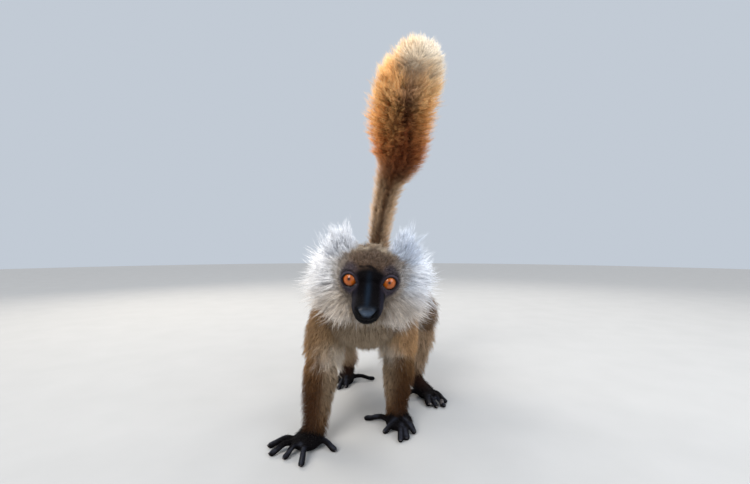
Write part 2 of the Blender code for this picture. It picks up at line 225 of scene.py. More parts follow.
def middle(name):
    """The middle of a solid's surface."""
    bm = solid_copy(name)
    total = sum(f.calc_area() for f in bm.faces)
    found = sum((f.calc_center_median() * f.calc_area() for f in bm.faces), Vector()) / total
    bm.free()
    return found


def end_of(name, way, share=0.15):
    """The middle of the share of a solid's surface that lies furthest that way."""
    bm = solid_copy(name)
    spots = sorted(((f.calc_center_median(), f.calc_area()) for f in bm.faces),
                   key=lambda spot: -spot[0].dot(Vector(way)))
    bm.free()
    spots = spots[: max(3, int(len(spots) * share))]
    return sum((spot * area for spot, area in spots), Vector()) / sum(a for _, a in spots)


def smooth_line(stops, steps=5):
    """Many points along a smooth curve through a few stops."""
    stops = [stops[0] * 2 - stops[1], *stops, stops[-1] * 2 - stops[-2]]
    found = []
    for a, b, c, d in zip(stops, stops[1:], stops[2:], stops[3:]):
        for i in range(steps):
            t = i / steps
            found.append(0.5 * (2 * b + (c - a) * t + (2 * a - 5 * b + 4 * c - d) * t**2
                                + (3 * b - a - 3 * c + d) * t**3))
    return np.array([*found, stops[-2]])


UP, DOWN, BACK, AHEAD = (0, 0, 1), (0, 0, -1), (0, 1, 0), (0, -1, 0)
TRUNK_NODES = ("rump", "belly", "chest", "neck")
TAIL_NODES = ("tail_root", "tail_stem", "tail_brush_lower", "tail_brush_upper", "tail_tip")
LIMBS = (("upper_arm", "forearm", "hand"), ("thigh", "shank", "foot"))
trunk_line = smooth_line([middle("head"), *map(middle, TRUNK_NODES[::-1]),
                          end_of("rump", BACK, 0.1)])
tail_line = smooth_line([end_of("tail_root", DOWN), *map(middle, TAIL_NODES),
                         end_of("tail_tip", AHEAD)])
lines = {**dict.fromkeys(TRUNK_NODES, trunk_line), **dict.fromkeys(TAIL_NODES, tail_line)}
for side in SIDES:
    for limb in LIMBS:
        upper, lower, _ = (f"{name}_{side}" for name in limb)
        line = smooth_line([end_of(upper, UP), end_of(lower, UP, 0.1), end_of(lower, DOWN, 0.1)])
        lines.update({f"{name}_{side}": line for name in limb})
print("bone lines:", {name: [round(float(x), 3) for x in (*lines[name][0], *lines[name][-1])]
                      for name in ("rump", "tail_tip", "hand_right")})

# %% The head's own axes
HEAD_NOD, HEAD_TILT = math.radians(14.5), math.radians(4.7)
HEAD_AXIS_Z = -6.2  # the skull's and ruff's axis lies this far below the eyes, in mm


def box_middle(name):
    low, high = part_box(name)
    return (low + high) / 2


eye_middles = {side: box_middle(f"eye_{side}") for side in SIDES}
EYE_RADIUS = max((v.co - eye_middles["left"]).length for v in nodes["eye_left"].data.vertices)
head_axes = Euler((HEAD_NOD, HEAD_TILT, 0)).to_matrix().to_4x4()
head_place = Matrix.Translation((eye_middles["left"] + eye_middles["right"]) / 2) @ head_axes
into_head = np.array(head_place.inverted())
out_of_head = np.array(head_place)


def head_view(points):
    """Points in the head's own millimetres: X to its left, Y backwards, Z up, from between
    the eyes."""
    return (points @ into_head[:3, :3].T + into_head[:3, 3]) / MM


def from_head(vectors):
    """Turns directions or moves in the head's millimetres into the model's metres."""
    return vectors @ out_of_head[:3, :3].T * MM


def from_axis(spots):
    """Arms from the head's axis to places in the head's view, square to the axis."""
    return np.stack([spots[:, 0], np.zeros(len(spots)), spots[:, 2] - HEAD_AXIS_Z], axis=1)


def turn_from_top(spots):
    """Degrees round the head's axis from straight up, the same on both sides."""
    return np.degrees(np.arctan2(abs(spots[:, 0]), spots[:, 2] - HEAD_AXIS_Z))


def ease(start, end, x):
    """0 before start, 1 past end, and a smooth change between. End may be the lower one."""
    t = np.clip((x - start) / (end - start), 0, 1)
    return t * t * (3 - 2 * t)


def bell(x, centre, width):
    """1 at the centre, and smoothly less on both sides."""
    return np.exp(-(((x - centre) / width) ** 2))


def unit(vectors):
    return vectors / np.maximum(np.linalg.norm(vectors, axis=-1, keepdims=True), 1e-9)


def nearest_on(line, points):
    """For each point: its nearest place on the line, the line's direction and share there."""
    starts, spans = line[:-1], np.diff(line, axis=0)
    lengths = np.linalg.norm(spans, axis=1)
    best = np.full(len(points), np.inf)
    place, lead, share = np.zeros_like(points), np.zeros_like(points), np.zeros(len(points))
    gone = 0.0
    for start, span, length in zip(starts, spans, lengths):
        t = np.clip((points - start) @ span / length**2, 0, 1)
        spot = start + t[:, None] * span
        gap = np.linalg.norm(points - spot, axis=1)
        nearer = gap < best
        best[nearer] = gap[nearer]
        place[nearer] = spot[nearer]
        lead[nearer] = span / length
        share[nearer] = (gone + t[nearer] * length) / lengths.sum()
        gone += length
    return place, lead, share


print("eye radius", round(EYE_RADIUS / MM, 2), "mm")

# %% [markdown]
# ## One skin
#
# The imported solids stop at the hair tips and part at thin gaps. A skin could be lofted anew,
# but melting the solids into one blank with a voxel remesh keeps every measured form. The
# blank is then sunk towards the bone lines by the depth of the coat, deep in the tail brush and
# not at all on the hands, and the depths are evened out over the surface so that no step shows.

# %% Coat depths and the blank
# Coat depth in millimetres over each part, and along the tail as (share of its length, depth).
COAT_DEPTH = {
    "rump": 10, "belly": 10, "chest": 10, "neck": 12, "upper_arm": 7.5, "forearm": 5.5, "hand": 0,
    "thigh": 9, "shank": 2.5, "foot": 0, "head": 5.0, "muzzle": 0.5, "jaw": 0.8, "nose": 0,
}
TAIL_DEPTH = ([0.0, 0.3, 0.42, 0.56, 0.75, 1.0], [9, 11, 13, 25, 32, 30])
FLESH = sorted(name for name in nodes if not name.startswith("eye_"))
SWELL = 0.5 * MM
BLANK_GRAIN = 1.2 * MM


def part_kind(name):
    """The part's name without its side."""
    return name.removesuffix("_left").removesuffix("_right")


def read_out(items, key, width, kind=np.float32):
    """A property of all of a mesh's points, edges or faces, as rows of width numbers."""
    found = np.empty(len(items) * width, kind)
    items.foreach_get(key, found)
    return found.reshape(-1, width)


def vertex_places(mesh):
    return read_out(mesh.vertices, "co", 3).astype(float)


def vertex_normals(mesh):
    return read_out(mesh.vertex_normals, "vector", 3).astype(float)


def edge_ends(mesh):
    return read_out(mesh.edges, "vertices", 2, np.int32)


def move_vertices(mesh, places):
    mesh.vertices.foreach_set("co", places.astype(np.float32).ravel())
    mesh.update()


def modified(obj):
    """The object's mesh with its modifiers applied. The object itself goes."""
    graph = bpy.context.evaluated_depsgraph_get()
    mesh = bpy.data.meshes.new_from_object(obj.evaluated_get(graph))
    bpy.data.objects.remove(obj)
    return mesh


def melted(names):
    """The solids, a little swollen so that they touch, as one closed even mesh."""
    whole = bmesh.new()
    for name in names:
        bm = solid_copy(name)
        for vert in bm.verts:
            vert.co += vert.normal * SWELL
        part = mesh_of(bm, "part")
        whole.from_mesh(part)
        bpy.data.meshes.remove(part)
    obj = put_in_scene("blank", mesh_of(whole, "blank"))
    remesh = obj.modifiers.new("melt", "REMESH")
    remesh.mode, remesh.voxel_size = "VOXEL", BLANK_GRAIN
    return modified(obj)


def evened(values, edges, rounds, share=0.5, free=None):
    """Evens values out over a mesh, each towards the mean of its neighbours."""
    count = len(values)
    near = np.maximum(np.bincount(edges.ravel(), minlength=count), 1)
    columns = [column.copy() for column in values.T]
    pull = share if free is None else share * free
    for _ in range(rounds):
        for k, column in enumerate(columns):
            total = np.bincount(edges[:, 0], column[edges[:, 1]], count)
            total += np.bincount(edges[:, 1], column[edges[:, 0]], count)
            columns[k] = column + pull * (total / near - column)
    return np.stack(columns, axis=1)


def nearest_parts(points):
    """For each point, the number in FLESH of the solid that it is nearest to."""
    corners, faces, owners = [], [], []
    for number, name in enumerate(FLESH):
        bm = solid_copy(name)
        bmesh.ops.triangulate(bm, faces=bm.faces)
        base = len(corners)
        corners += [v.co.copy() for v in bm.verts]
        faces += [[base + v.index for v in f.verts] for f in bm.faces]
        owners += [number] * len(bm.faces)
        bm.free()
    tree = BVHTree.FromPolygons(corners, faces)
    return np.array([owners[tree.find_nearest(p)[2]] for p in points])


def on(*names):
    """Which of the surface's points lie on parts of these kinds."""
    return np.isin(kinds, names)


blank = melted(nodes)
print("blank:", len(blank.vertices), "points")

# %% Sinking the blank by the coat's depth
FAN_CORE_FROM, FAN_CORE_SHARE = 30.0, 0.50  # the ruff's core: where it starts, how far it reaches
FAN_MIDDLE, FAN_THIN = 45.0, 0.45  # its middle plane, and how thin it is left
# How far ruff and skull may reach from the head's axis in mm, by degrees from the top.
CORE_REACH = ((0, 33, 37, 41, 46, 52, 60, 70, 82, 92, 108, 125, 180),
              (26, 26, 32, 40, 42, 38, 38, 42, 44, 46, 52, 60, 70))
SKULL_REACH = ((0, 22, 38, 55), (31.5, 32.5, 38, 60))
SKULL_BACK_FROM, FACE_TO = 12, 25  # places along the head's axis in mm
MOST_SUNK = 0.62  # of the way to the bone line
FACE_SKIN, FINE_GIVE = 0.7, 0.35  # depth at the face in mm, and how far fine parts are evened


def sunk_by(points, normals):
    """How each point of the blank moves to reach the skin, in metres."""
    move = np.zeros_like(points)
    for number, name in enumerate(FLESH):
        here = np.flatnonzero(owner == number)
        kind, spot = part_kind(name), head_view(points[here])
        depth = COAT_DEPTH.get(kind, 0) * MM
        if kind in ("ear", "ruff"):
            arm = from_axis(spot)
            reach = np.linalg.norm(arm, axis=1, keepdims=True)
            parting = ease(22, 35, abs(spot[:, :1])) + ease(16, 6, spot[:, 2:])
            left_out = 1 - FAN_CORE_SHARE * np.minimum(parting, 1)
            shift = -unit(arm) * np.maximum(reach - FAN_CORE_FROM, 0) * left_out
            shift[:, 1] = (FAN_MIDDLE - spot[:, 1]) * (1 - FAN_THIN)
            move[here] = from_head(shift)
        elif name in lines:
            place, _, share = nearest_on(lines[name], points[here])
            arm = points[here] - place
            reach = np.linalg.norm(arm, axis=1, keepdims=True)
            if name in TAIL_NODES:
                depth = np.interp(share, *TAIL_DEPTH)[:, None] * MM
            move[here] = -unit(arm) * np.minimum(depth, MOST_SUNK * reach)
        else:
            if kind == "head":
                depth = (FACE_SKIN + depth / MM * ease(-6, 20, spot[:, 1:2])) * MM
            move[here] = -normals[here] * depth
    return move


def trimmed_fan(points):
    """Pulls ruff, ears and the back of the skull in to the reach that they may have."""
    spot = head_view(points)
    arm, turn = from_axis(spot), turn_from_top(spot)
    most = np.where(on("head"), np.interp(turn, *SKULL_REACH), np.interp(turn, *CORE_REACH))
    free = on("ear", "ruff") | (on("head") & (spot[:, 1] > SKULL_BACK_FROM))
    trim = np.where(free, np.maximum(np.linalg.norm(arm, axis=1) - most, 0), 0)
    return points - from_head(unit(arm) * trim[:, None])


places, links = vertex_places(blank), edge_ends(blank)
owner = nearest_parts(places)
kinds = np.array([part_kind(n) for n in FLESH])[owner]
moves = sunk_by(places, vertex_normals(blank))
is_fine = on("hand", "foot", "muzzle", "nose", "jaw")
moves = evened(moves, links, 60, free=np.where(is_fine, FINE_GIVE, 1.0))
places = places + moves
on_front = on("head") & (head_view(places)[:, 1] < FACE_TO)
places = evened(places, links, 3)
places = evened(places, links, 14, free=np.where(is_fine | on_front, 0.12, 1.0))
places = evened(trimmed_fan(places), links, 5, free=on("ear", "ruff").astype(float))
move_vertices(blank, places)
print("sunk by up to", round(float(np.linalg.norm(moves, axis=1).max() / MM), 1), "mm")

# %% Fewer faces where hair will cover the skin
SKIN_FACES = 150_000
blank_object = put_in_scene("blank", blank)
covered = blank_object.vertex_groups.new(name="covered")
covered.add(np.flatnonzero(~(is_fine | on_front)).tolist(), 1.0, "REPLACE")
thin = blank_object.modifiers.new("thin", "DECIMATE")
thin.ratio = min(1.0, SKIN_FACES / (2 * len(blank.polygons)))
thin.vertex_group = "covered"
thin.use_collapse_triangulate = True
skin_mesh = modified(blank_object)
print("skin:", len(skin_mesh.polygons), "faces")

# %% [markdown]
# ## The face
#
# Lids, nostrils and lips are what the eye looks for first, and the blank is too coarse to hold
# them. The faces round them are cut finer, and then their points are moved by simple profiles:
# round each eye the skin rises to a rolled rim and drops steeply behind it to make a pocket for
# the eyeball. Moving points keeps the skin in one piece, where a Boolean would cut it open.

# %% Finer faces round the eyes, nose and lips
EYE_OUTWARD, EYE_UP = 0.30, 0.06  # how far the gaze leans from straight ahead
LID_GAP = 5.55  # half the width between the open lids, in mm
GLOBE = EYE_RADIUS / MM


def eye_axes(side):
    """The eyeball's middle, and the directions of its gaze, its outer corner and its top."""
    sign = SIDES[side]
    look = head_axes.to_3x3() @ Vector((sign * EYE_OUTWARD, -1, EYE_UP)).normalized()
    top = head_axes.to_3x3() @ Vector((0, 0, 1))
    outer = top.cross(look).normalized() * sign
    return [np.array(v) for v in (eye_middles[side], look, outer, look.cross(outer) * sign)]


def round_eye(points, side):
    """Height along the gaze, distance from it in mm, and turn (0 outer corner, 90 degrees top)."""
    centre, look, outer, top = eye_axes(side)
    arm = (points - centre) / MM
    sideways, upward = arm @ outer, arm @ top
    return arm @ look, np.hypot(sideways, upward), np.arctan2(upward, sideways)


def from_eye(side, height, far, turn):
    centre, look, outer, top = eye_axes(side)
    spread = np.cos(turn)[:, None] * outer + np.sin(turn)[:, None] * top
    return centre + (height[:, None] * look + far[:, None] * spread) * MM


def cut_finer(bm, near):
    """Cuts each edge in half where near(points) holds at both of its ends."""
    inside = near(np.array([v.co for v in bm.verts]))
    bm.verts.index_update()
    edges = [e for e in bm.edges if inside[e.verts[0].index] and inside[e.verts[1].index]]
    bmesh.ops.subdivide_edges(bm, edges=edges, cuts=1, use_grid_fill=True)
    bmesh.ops.triangulate(bm, faces=[f for f in bm.faces if len(f.verts) > 3])


def near_eyes(limit):
    def test(points):
        found = np.zeros(len(points), bool)
        for side in SIDES:
            height, far, _ = round_eye(points, side)
            found |= (far < limit) & (height > 0)
        return found
    return test


def near_snout(points):
    spot = head_view(points)
    return (spot[:, 1] < -24) & (spot[:, 2] < 0)


skin_bm = bmesh.new()
skin_bm.from_mesh(skin_mesh)
cut_finer(skin_bm, near_eyes(12.5))
cut_finer(skin_bm, near_eyes(9.5))
cut_finer(skin_bm, near_snout)
skin_bm.to_mesh(skin_mesh)
skin_bm.free()
print("skin with finer face:", len(skin_mesh.polygons), "faces")

# %% Which part each point of the skin belongs to
finder = KDTree(len(places))
for number, place in enumerate(places):
    finder.insert(place, number)
finder.balance()
skin_places, skin_links = vertex_places(skin_mesh), edge_ends(skin_mesh)
owner = owner[[finder.find(p)[1] for p in skin_places]]
kinds = np.array([part_kind(n) for n in FLESH])[owner]
print({kind: int((kinds == kind).sum()) for kind in sorted(set(kinds))})

# %% Fingers and toes
DIGITS = 5  # on each hand and foot
DIGIT_LONG, GROOVE = 22, 2.0  # the length that lies flat, and the depth of the gaps, in mm


def digit_ends(name):
    """Each digit's end on a hand or foot: its place, the way it points and its thickness."""
    bm = solid_copy(name)
    spots = np.array([v.co for v in bm.verts])
    bm.free()
    high = spots[:, 2] > spots[:, 2].min() + 0.7 * np.ptp(spots[:, 2])
    reach = np.linalg.norm((spots - spots[high].mean(axis=0))[:, :2], axis=1)
    gaps = np.linalg.norm(spots[:, None] - spots[None], axis=2)
    is_end = (np.where(gaps < 7 * MM, reach[None], 0).max(axis=1) <= reach + 1e-9) & (reach > 18 * MM)
    found = []
    for number in sorted(np.flatnonzero(is_end), key=lambda n: -reach[n]):
        if all(gaps[number, other] > 6 * MM for other in found):
            found.append(number)
    ends = []
    for number in found[:DIGITS]:
        near = spots[gaps[number] < 8 * MM]
        core = near.mean(axis=0)
        way = unit(spots[number] - core)
        tip = core + way * ((near - core) @ way).max()
        across = (near - tip) - np.outer((near - tip) @ way, way)
        ends.append((tip, way, np.percentile(np.linalg.norm(across, axis=1), 60)))
    return ends


digits = {f"{end}_{side}": digit_ends(f"{end}_{side}") for _, _, end in LIMBS for side in SIDES}


def near_digits(points):
    """How far each point lies, from above, from the nearest digit and from the next, in mm."""
    far = []
    for tip, way, _ in sum(digits.values(), []):
        flat = unit(way * (1, 1, 0))
        arm = (points - tip) * (1, 1, 0)
        along = np.clip(arm @ flat, -DIGIT_LONG * MM, 0)
        far.append(np.linalg.norm(arm - np.outer(along, flat), axis=1) / MM)
    far = np.sort(np.array(far), axis=0)
    return far[0], far[1]


def carve_digits(points, normals):
    """Parts digits that touch by a groove between them."""
    near, far = near_digits(points)
    groove = bell(far - near, 0, 2.4) * ease(7.5, 5.0, near)
    groove *= on("hand", "foot") * ease(0.0, 0.5, normals[:, 2])
    return points - np.outer(groove, UP) * GROOVE * MM


print("digits:", {name: len(ends) for name, ends in digits.items()})

# %% Lids, nostrils and lips
RIM_RISE, RIM_WIDTH = 0.75, 1.1
INNER_CORNER = math.radians(193)
POCKET, BRINK = 1.4, 0.5  # the skin under the ball and at the lids' edge, from the ball, in mm
FOLD_AT, FOLD_DEEP = 3.1, 0.55  # the crease over the lid
NOSTRIL, NOSTRIL_DEEP = (5.6, -44.0, -13.6), 4.2


def lid_edge(turn):
    """How far the lids' edge is from the gaze: nearly round, drawn out at both corners."""
    inner, outer = (np.angle(np.exp(1j * (turn - corner))) for corner in (INNER_CORNER, 0))
    low_top = 1 - 0.05 * np.maximum(0, np.sin(turn))
    return LID_GAP * low_top + 0.8 * bell(inner, 0, 0.24) + 0.3 * bell(outer, 0, 0.3)


def carve_lids(points, links):
    """A rolled rim round each eye, a crease over it and a pocket behind it for the ball."""
    points = points.copy()
    for side in SIDES:
        height, far, turn = round_eye(points, side)
        edge = lid_edge(turn)
        front = (height > 0) & (far < 14)
        inside = front & (far < edge)
        cut = inside[links[:, 0]] != inside[links[:, 1]]
        ends = np.zeros(len(points), bool)
        ends[links[cut & front[links].all(axis=1)].ravel()] = True
        far = np.where(ends & inside, edge - 0.05, np.where(ends & ~inside, edge + 0.05, far))
        pocket = np.sqrt(np.maximum(GLOBE**2 - np.minimum(far, GLOBE) ** 2, 0)) - POCKET
        step = np.clip((far - edge) / RIM_WIDTH, 0, 1)
        rim = np.sqrt(GLOBE**2 - edge**2) + BRINK + RIM_RISE * np.sqrt(1 - (1 - step) ** 2)
        rim -= 0.10 * np.maximum(far - edge - RIM_WIDTH, 0) ** 2
        fold = FOLD_DEEP * bell(far - edge, FOLD_AT, 0.55) * (0.35 + 0.65 * np.sin(turn).clip(0))
        blend = ease(edge + 1.6, edge + 4.4, far)
        near = front & (far < edge + 6)
        height = np.where(inside, pocket, np.where(near, rim * (1 - blend) + height * blend - fold, height))
        moved = inside | near
        points[moved] = from_eye(side, height[moved], far[moved], turn[moved])
    return points


def gap_to(name, points):
    bm = solid_copy(name)
    tree = BVHTree.FromBMesh(bm)
    bm.free()
    return np.array([tree.find_nearest(p)[3] for p in points]) / MM


def carve_snout(points, normals):
    """Nostrils, the groove under the nose and the line of the lips."""
    x, y, z = head_view(points).T
    near = np.flatnonzero((y < 6) & (z < 0) & (z > -32) & (abs(x) < 22))
    lips = gap_to("jaw", points[near]) - gap_to("muzzle", points[near])
    shift = np.zeros_like(points)
    closed = bell(lips, 0, 0.55) * (y[near] < 2)
    shift[near] -= normals[near] * (0.9 * closed)[:, None] * MM
    aside = abs(x) - NOSTRIL[0]
    pit = (aside / 2.3) ** 2 + ((z - NOSTRIL[2] - 0.5 * aside) / 1.5) ** 2
    deep = NOSTRIL_DEEP * np.exp(-pit * 1.3) * (y < -36)
    groove = 0.7 * bell(x, 0, 0.6) * ease(-12.5, -14, z) * (y < -36)
    tuck = 1.5 * ease(-8, -30, y) * ease(-10, -20, z)
    full = 1.5 * bell(y, -27, 13) * ease(2, 9, abs(x)) * ease(-2, -9, z)
    shift += from_head(np.stack([np.sign(x) * (full - 0.35 * deep), deep + groove, tuck], axis=1))
    return points + shift


skin_places = carve_snout(skin_places, vertex_normals(skin_mesh))
skin_places = carve_lids(skin_places, skin_links)
skin_places = carve_digits(skin_places, vertex_normals(skin_mesh))
move_vertices(skin_mesh, skin_places)
skin_mesh.shade_smooth()
skin_normals = vertex_normals(skin_mesh)
skin = put_in_scene("skin", skin_mesh)
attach(skin, "root")
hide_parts(*FLESH)
print("lids, nostrils and lips carved")

# %% [markdown]
# ## Shared patterns
#
# Skin, hair and nails all need small uneven tone and a little relief. A node group built once,
# with its own scale and strength in each material, keeps them alike and easy to tune. It gives
# out a colour and a height, and the shader itself stays in each material.

# %% The uneven-tone group
def tone_group():
    group = bpy.data.node_groups.new("uneven_tone", "ShaderNodeTree")
    for name, flow, kind in (("Colour", "INPUT", "Color"), ("Scale", "INPUT", "Float"),
                             ("Amount", "INPUT", "Float"), ("Colour", "OUTPUT", "Color"),
                             ("Height", "OUTPUT", "Float")):
        group.interface.new_socket(name, in_out=flow, socket_type=f"NodeSocket{kind}")
    given = group.nodes.new("NodeGroupInput").outputs
    result = group.nodes.new("NodeGroupOutput")
    spot = add_node(group, "TexCoord").outputs["Object"]
    fine = add_node(group, "TexNoise", Vector=spot, Scale=given["Scale"], Detail=3.0, Roughness=0.6)
    centred = worked(group, "Math", "SUBTRACT", fine.outputs["Fac"], 0.5)
    swing = worked(group, "Math", "MULTIPLY_ADD", centred, given["Amount"], 1.0)
    link_in(result, "Colour", worked(group, "VectorMath", "SCALE", given["Colour"], swing))
    link_in(result, "Height", fine.outputs["Fac"])
    return group


uneven_tone = tone_group()


def uneven(tree, shader, colour, scale, amount):
    """Feeds the shader an uneven colour. Returns the height that goes with it."""
    node = add_node(tree, "Group", {"node_tree": uneven_tone}, Colour=colour, Scale=scale, Amount=amount)
    link_in(shader, "Base Color", node.outputs["Colour"])
    return node.outputs["Height"]


def attribute(tree, name, output="Fac"):
    return add_node(tree, "Attribute", {"attribute_name": name}).outputs[output]


def bumped(tree, shader, height, strength, distance):
    bump = add_node(tree, "Bump", Height=height, Strength=strength, Distance=distance)
    link_in(shader, "Normal", bump.outputs["Normal"])


print("group sockets:", [s.name for s in uneven_tone.interface.items_tree])

# %% [markdown]
# ## Eyes
#
# The eyeball is a ball with a slightly raised clear front, a wide orange iris and, in daylight,
# a pinpoint pupil. Glass eyes for models are made as a painted disc under a glass dome. Here one
# finely divided ball does both: the iris is painted by distance from the gaze, kept in the
# ball's own UV map, and a clear coat on the shader gives the wet gloss.

# %% Eyeballs
IRIS_FAR, PUPIL_FAR = 6.2, 0.85  # distances from the gaze in mm
UV_SPAN = 20  # mm across the gaze map
BULGE, BULGE_FROM = 0.35, 0.72  # the clear front: its rise in mm, and where it starts
GAZE_TURN = {"right": (-0.5, 1.6), "left": (-1.3, 1.1)}  # the pupil off the opening's middle, in mm


def make_eye(side):
    centre, look, outer, top = eye_axes(side)
    across, up = GAZE_TURN[side]
    look = unit(look * EYE_RADIUS / MM + outer * across + top * up)
    outer = unit(outer - look * (outer @ look))
    bm = bmesh.new()
    bmesh.ops.create_uvsphere(bm, u_segments=56, v_segments=40, radius=EYE_RADIUS)
    bulge_from = BULGE_FROM * EYE_RADIUS
    for vert in bm.verts:
        dome = max(0.0, (vert.co.z - bulge_from) / (EYE_RADIUS - bulge_from))
        vert.co.z += BULGE * MM * dome**1.5
    uv = bm.loops.layers.uv.new("gaze")
    for face in bm.faces:
        for loop in face.loops:
            x, y, z = loop.vert.co / MM
            loop[uv].uv = (x / UV_SPAN + 0.5, y / UV_SPAN + 0.5) if z > 0 else (0.95, 0.95)
    turn = Matrix((outer, np.cross(look, outer), look)).transposed().to_4x4()
    bmesh.ops.transform(bm, matrix=Matrix.Translation(centre) @ turn, verts=bm.verts)
    eye = put_in_scene(f"eyeball_{side}", mesh_of(bm, f"eyeball_{side}"))
    eye.data.shade_smooth()
    eye.data.materials.append(eye_material)
    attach(eye, "root")
    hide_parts(f"eye_{side}")
    return eye


eye_material, tree, shader = new_material(
    "amber_iris", Roughness=0.28, Coat_Weight=0.7, Specular_IOR_Level=0.1, Coat_Roughness=0.02)
gaze = add_node(tree, "UVMap", {"uv_map": "gaze"}).outputs["UV"]
centred = worked(tree, "VectorMath", "SUBTRACT", gaze, (0.5, 0.5, 0))
spoke = worked(tree, "VectorMath", "NORMALIZE", centred)
threads = add_node(tree, "TexNoise", Vector=spoke, Scale=22.0, Detail=5.0).outputs["Fac"]
iris = add_node(tree, "ValToRGB", Fac=worked(tree, "VectorMath", "LENGTH", centred))
IRIS_STOPS = [  # share of the gaze map from its middle, and colour
    (PUPIL_FAR / UV_SPAN, (0.001, 0.001, 0.001)), (PUPIL_FAR / UV_SPAN + 0.010, (0.10, 0.022, 0.005)),
    (0.10, (0.28, 0.062, 0.007)), (0.19, (0.40, 0.095, 0.008)),
    (IRIS_FAR / UV_SPAN - 0.030, (0.24, 0.050, 0.005)), (IRIS_FAR / UV_SPAN + 0.004, (0.006, 0.004, 0.003))]
elements = iris.color_ramp.elements
while len(elements) < len(IRIS_STOPS):
    elements.new(0.5)
for element, (place, colour) in zip(elements, IRIS_STOPS):
    element.position, element.color = place, (*colour, 1)
fibre = mapped(tree, threads, To_Min=0.45, To_Max=1.45)
link_in(shader, "Base Color", worked(tree, "VectorMath", "SCALE", iris.outputs["Color"], fibre))
for side in SIDES:
    print(make_eye(side).name, "set", round(GLOBE, 1), "mm in radius")

# %% [markdown]
# ## Markings
#
# Skin and hair must agree, or bare patches would show wherever the hair parts. So the markings
# are worked out once, at every point of the skin, from where that point lies on the body: how
# far along the leg or tail, how far round it, and where on the head. The hair takes its colour
# from the skin at its root. The alternative, painting both, would never quite match.

# %% Where each point of the skin lies
bone_place, bone_lead = np.zeros_like(skin_places), np.zeros_like(skin_places)
bone_share = np.zeros(len(skin_places))
for number, name in enumerate(FLESH):
    here = np.flatnonzero(owner == number)
    if name in lines and len(here):
        found = nearest_on(lines[name], skin_places[here])
        bone_place[here], bone_lead[here], bone_share[here] = found
head_spot = head_view(skin_places)
head_reach, from_top = np.linalg.norm(from_axis(head_spot), axis=1), turn_from_top(head_spot)
side_sign = np.array([-1 if n.endswith("_right") else 1 for n in FLESH])[owner]
on_tail, on_fan = on(*TAIL_NODES), on("ear", "ruff")
skin_ahead, skin_up = -skin_normals[:, 1], skin_normals[:, 2]
to_inside = -skin_normals[:, 0] * side_sign


WAVES, WAVE_SUM = 7, 2.6  # waves in a drift, and about how high they add up


def drift(points, size, seed):
    """A smooth random field of directions: a sum of waves about as long as size."""
    waves = np.random.default_rng(seed)
    total = np.zeros_like(points)
    for _ in range(WAVES):
        way = unit(waves.normal(size=3)) / size * waves.uniform(0.6, 1.6)
        phase = points @ way * 2 * math.pi + waves.uniform(0, 2 * math.pi)
        total += np.sin(phase)[:, None] * waves.normal(size=3)
    return total / WAVE_SUM


def mix(a, b, share):
    share = np.asarray(share)[:, None]
    return a * (1 - share) + np.asarray(b) * share


def painted(tint, *coats):
    """Lays coats over a colour in turn. Each is a colour and the share of it at each point."""
    for colour, share in coats:
        tint = mix(tint, colour, share)
    return tint


print("points of the skin on the tail:", int(on_tail.sum()), "on ruff and ears:", int(on_fan.sum()))

# %% Colours of body and limbs
# Each colour is red, green and blue in linear light.
COLOURS = {
    "rump": (0.215, 0.120, 0.060), "belly": (0.235, 0.135, 0.070), "chest": (0.19, 0.128, 0.078),
    "neck": (0.30, 0.222, 0.150), "upper_arm": (0.38, 0.240, 0.125), "forearm": (0.150, 0.066, 0.022),
    # The shank's pale tan is partly its own colour and partly painted light.
    "thigh": (0.185, 0.113, 0.064), "shank": (0.70, 0.50, 0.33), "head": (0.090, 0.057, 0.039),
    "muzzle": (0.005, 0.004, 0.006), "jaw": (0.20, 0.162, 0.13), "nose": (0.003, 0.003, 0.004),
    "ear": (0.74, 0.79, 0.87), "ruff": (0.93, 0.93, 0.95),
}
PALE, WHITISH, CUFF_AT = (0.46, 0.36, 0.25), (0.62, 0.54, 0.45), 0.405  # share along the arm
RUSTY, BLACK = (0.040, 0.015, 0.006), (0.0025, 0.002, 0.0025)
# Along the tail: share of its length, then the colour of its flanks and of its dark streak.
# The streak is partly the hair's own darker colour and partly painted shade on the middle of the backlit
# tail.
TAIL_SHARES = (0.00, 0.18, 0.38, 0.46, 0.54, 0.64, 0.76, 0.87, 0.95, 1.00)
TAIL_FLANKS = ((0.24, 0.14, 0.075), (0.64, 0.46, 0.30), (0.62, 0.43, 0.26), (0.58, 0.28, 0.125),
               (0.80, 0.35, 0.12), (0.92, 0.50, 0.18), (0.93, 0.57, 0.24), (0.93, 0.62, 0.31),
               (0.86, 0.72, 0.54), (0.84, 0.74, 0.60))
TAIL_STREAKS_AND_SHADE = ((0.05, 0.018, 0.005), (0.034, 0.009, 0.001), (0.098, 0.033, 0.008),
                (0.24, 0.076, 0.030), (0.34, 0.090, 0.030), (0.39, 0.110, 0.038),
                (0.29, 0.115, 0.047), (0.56, 0.38, 0.25), (0.90, 0.76, 0.60), (0.94, 0.84, 0.70))
STREAK_AND_SHADE_WIDTHS = (1.1, 1.0, 1.0, 1.15, 1.05, 0.80, 0.52, 0.40, 0.3, 0.2)  # turn from it, radians
# Which way the streak faces, as a lean to the animal's left, by share of the tail's length.
STREAK_AND_SHADE_LEAN = ((0, 0.36, 0.47, 0.62, 0.80, 1), (-0.42, -0.42, 0.30, 0.25, 0.05, 0))


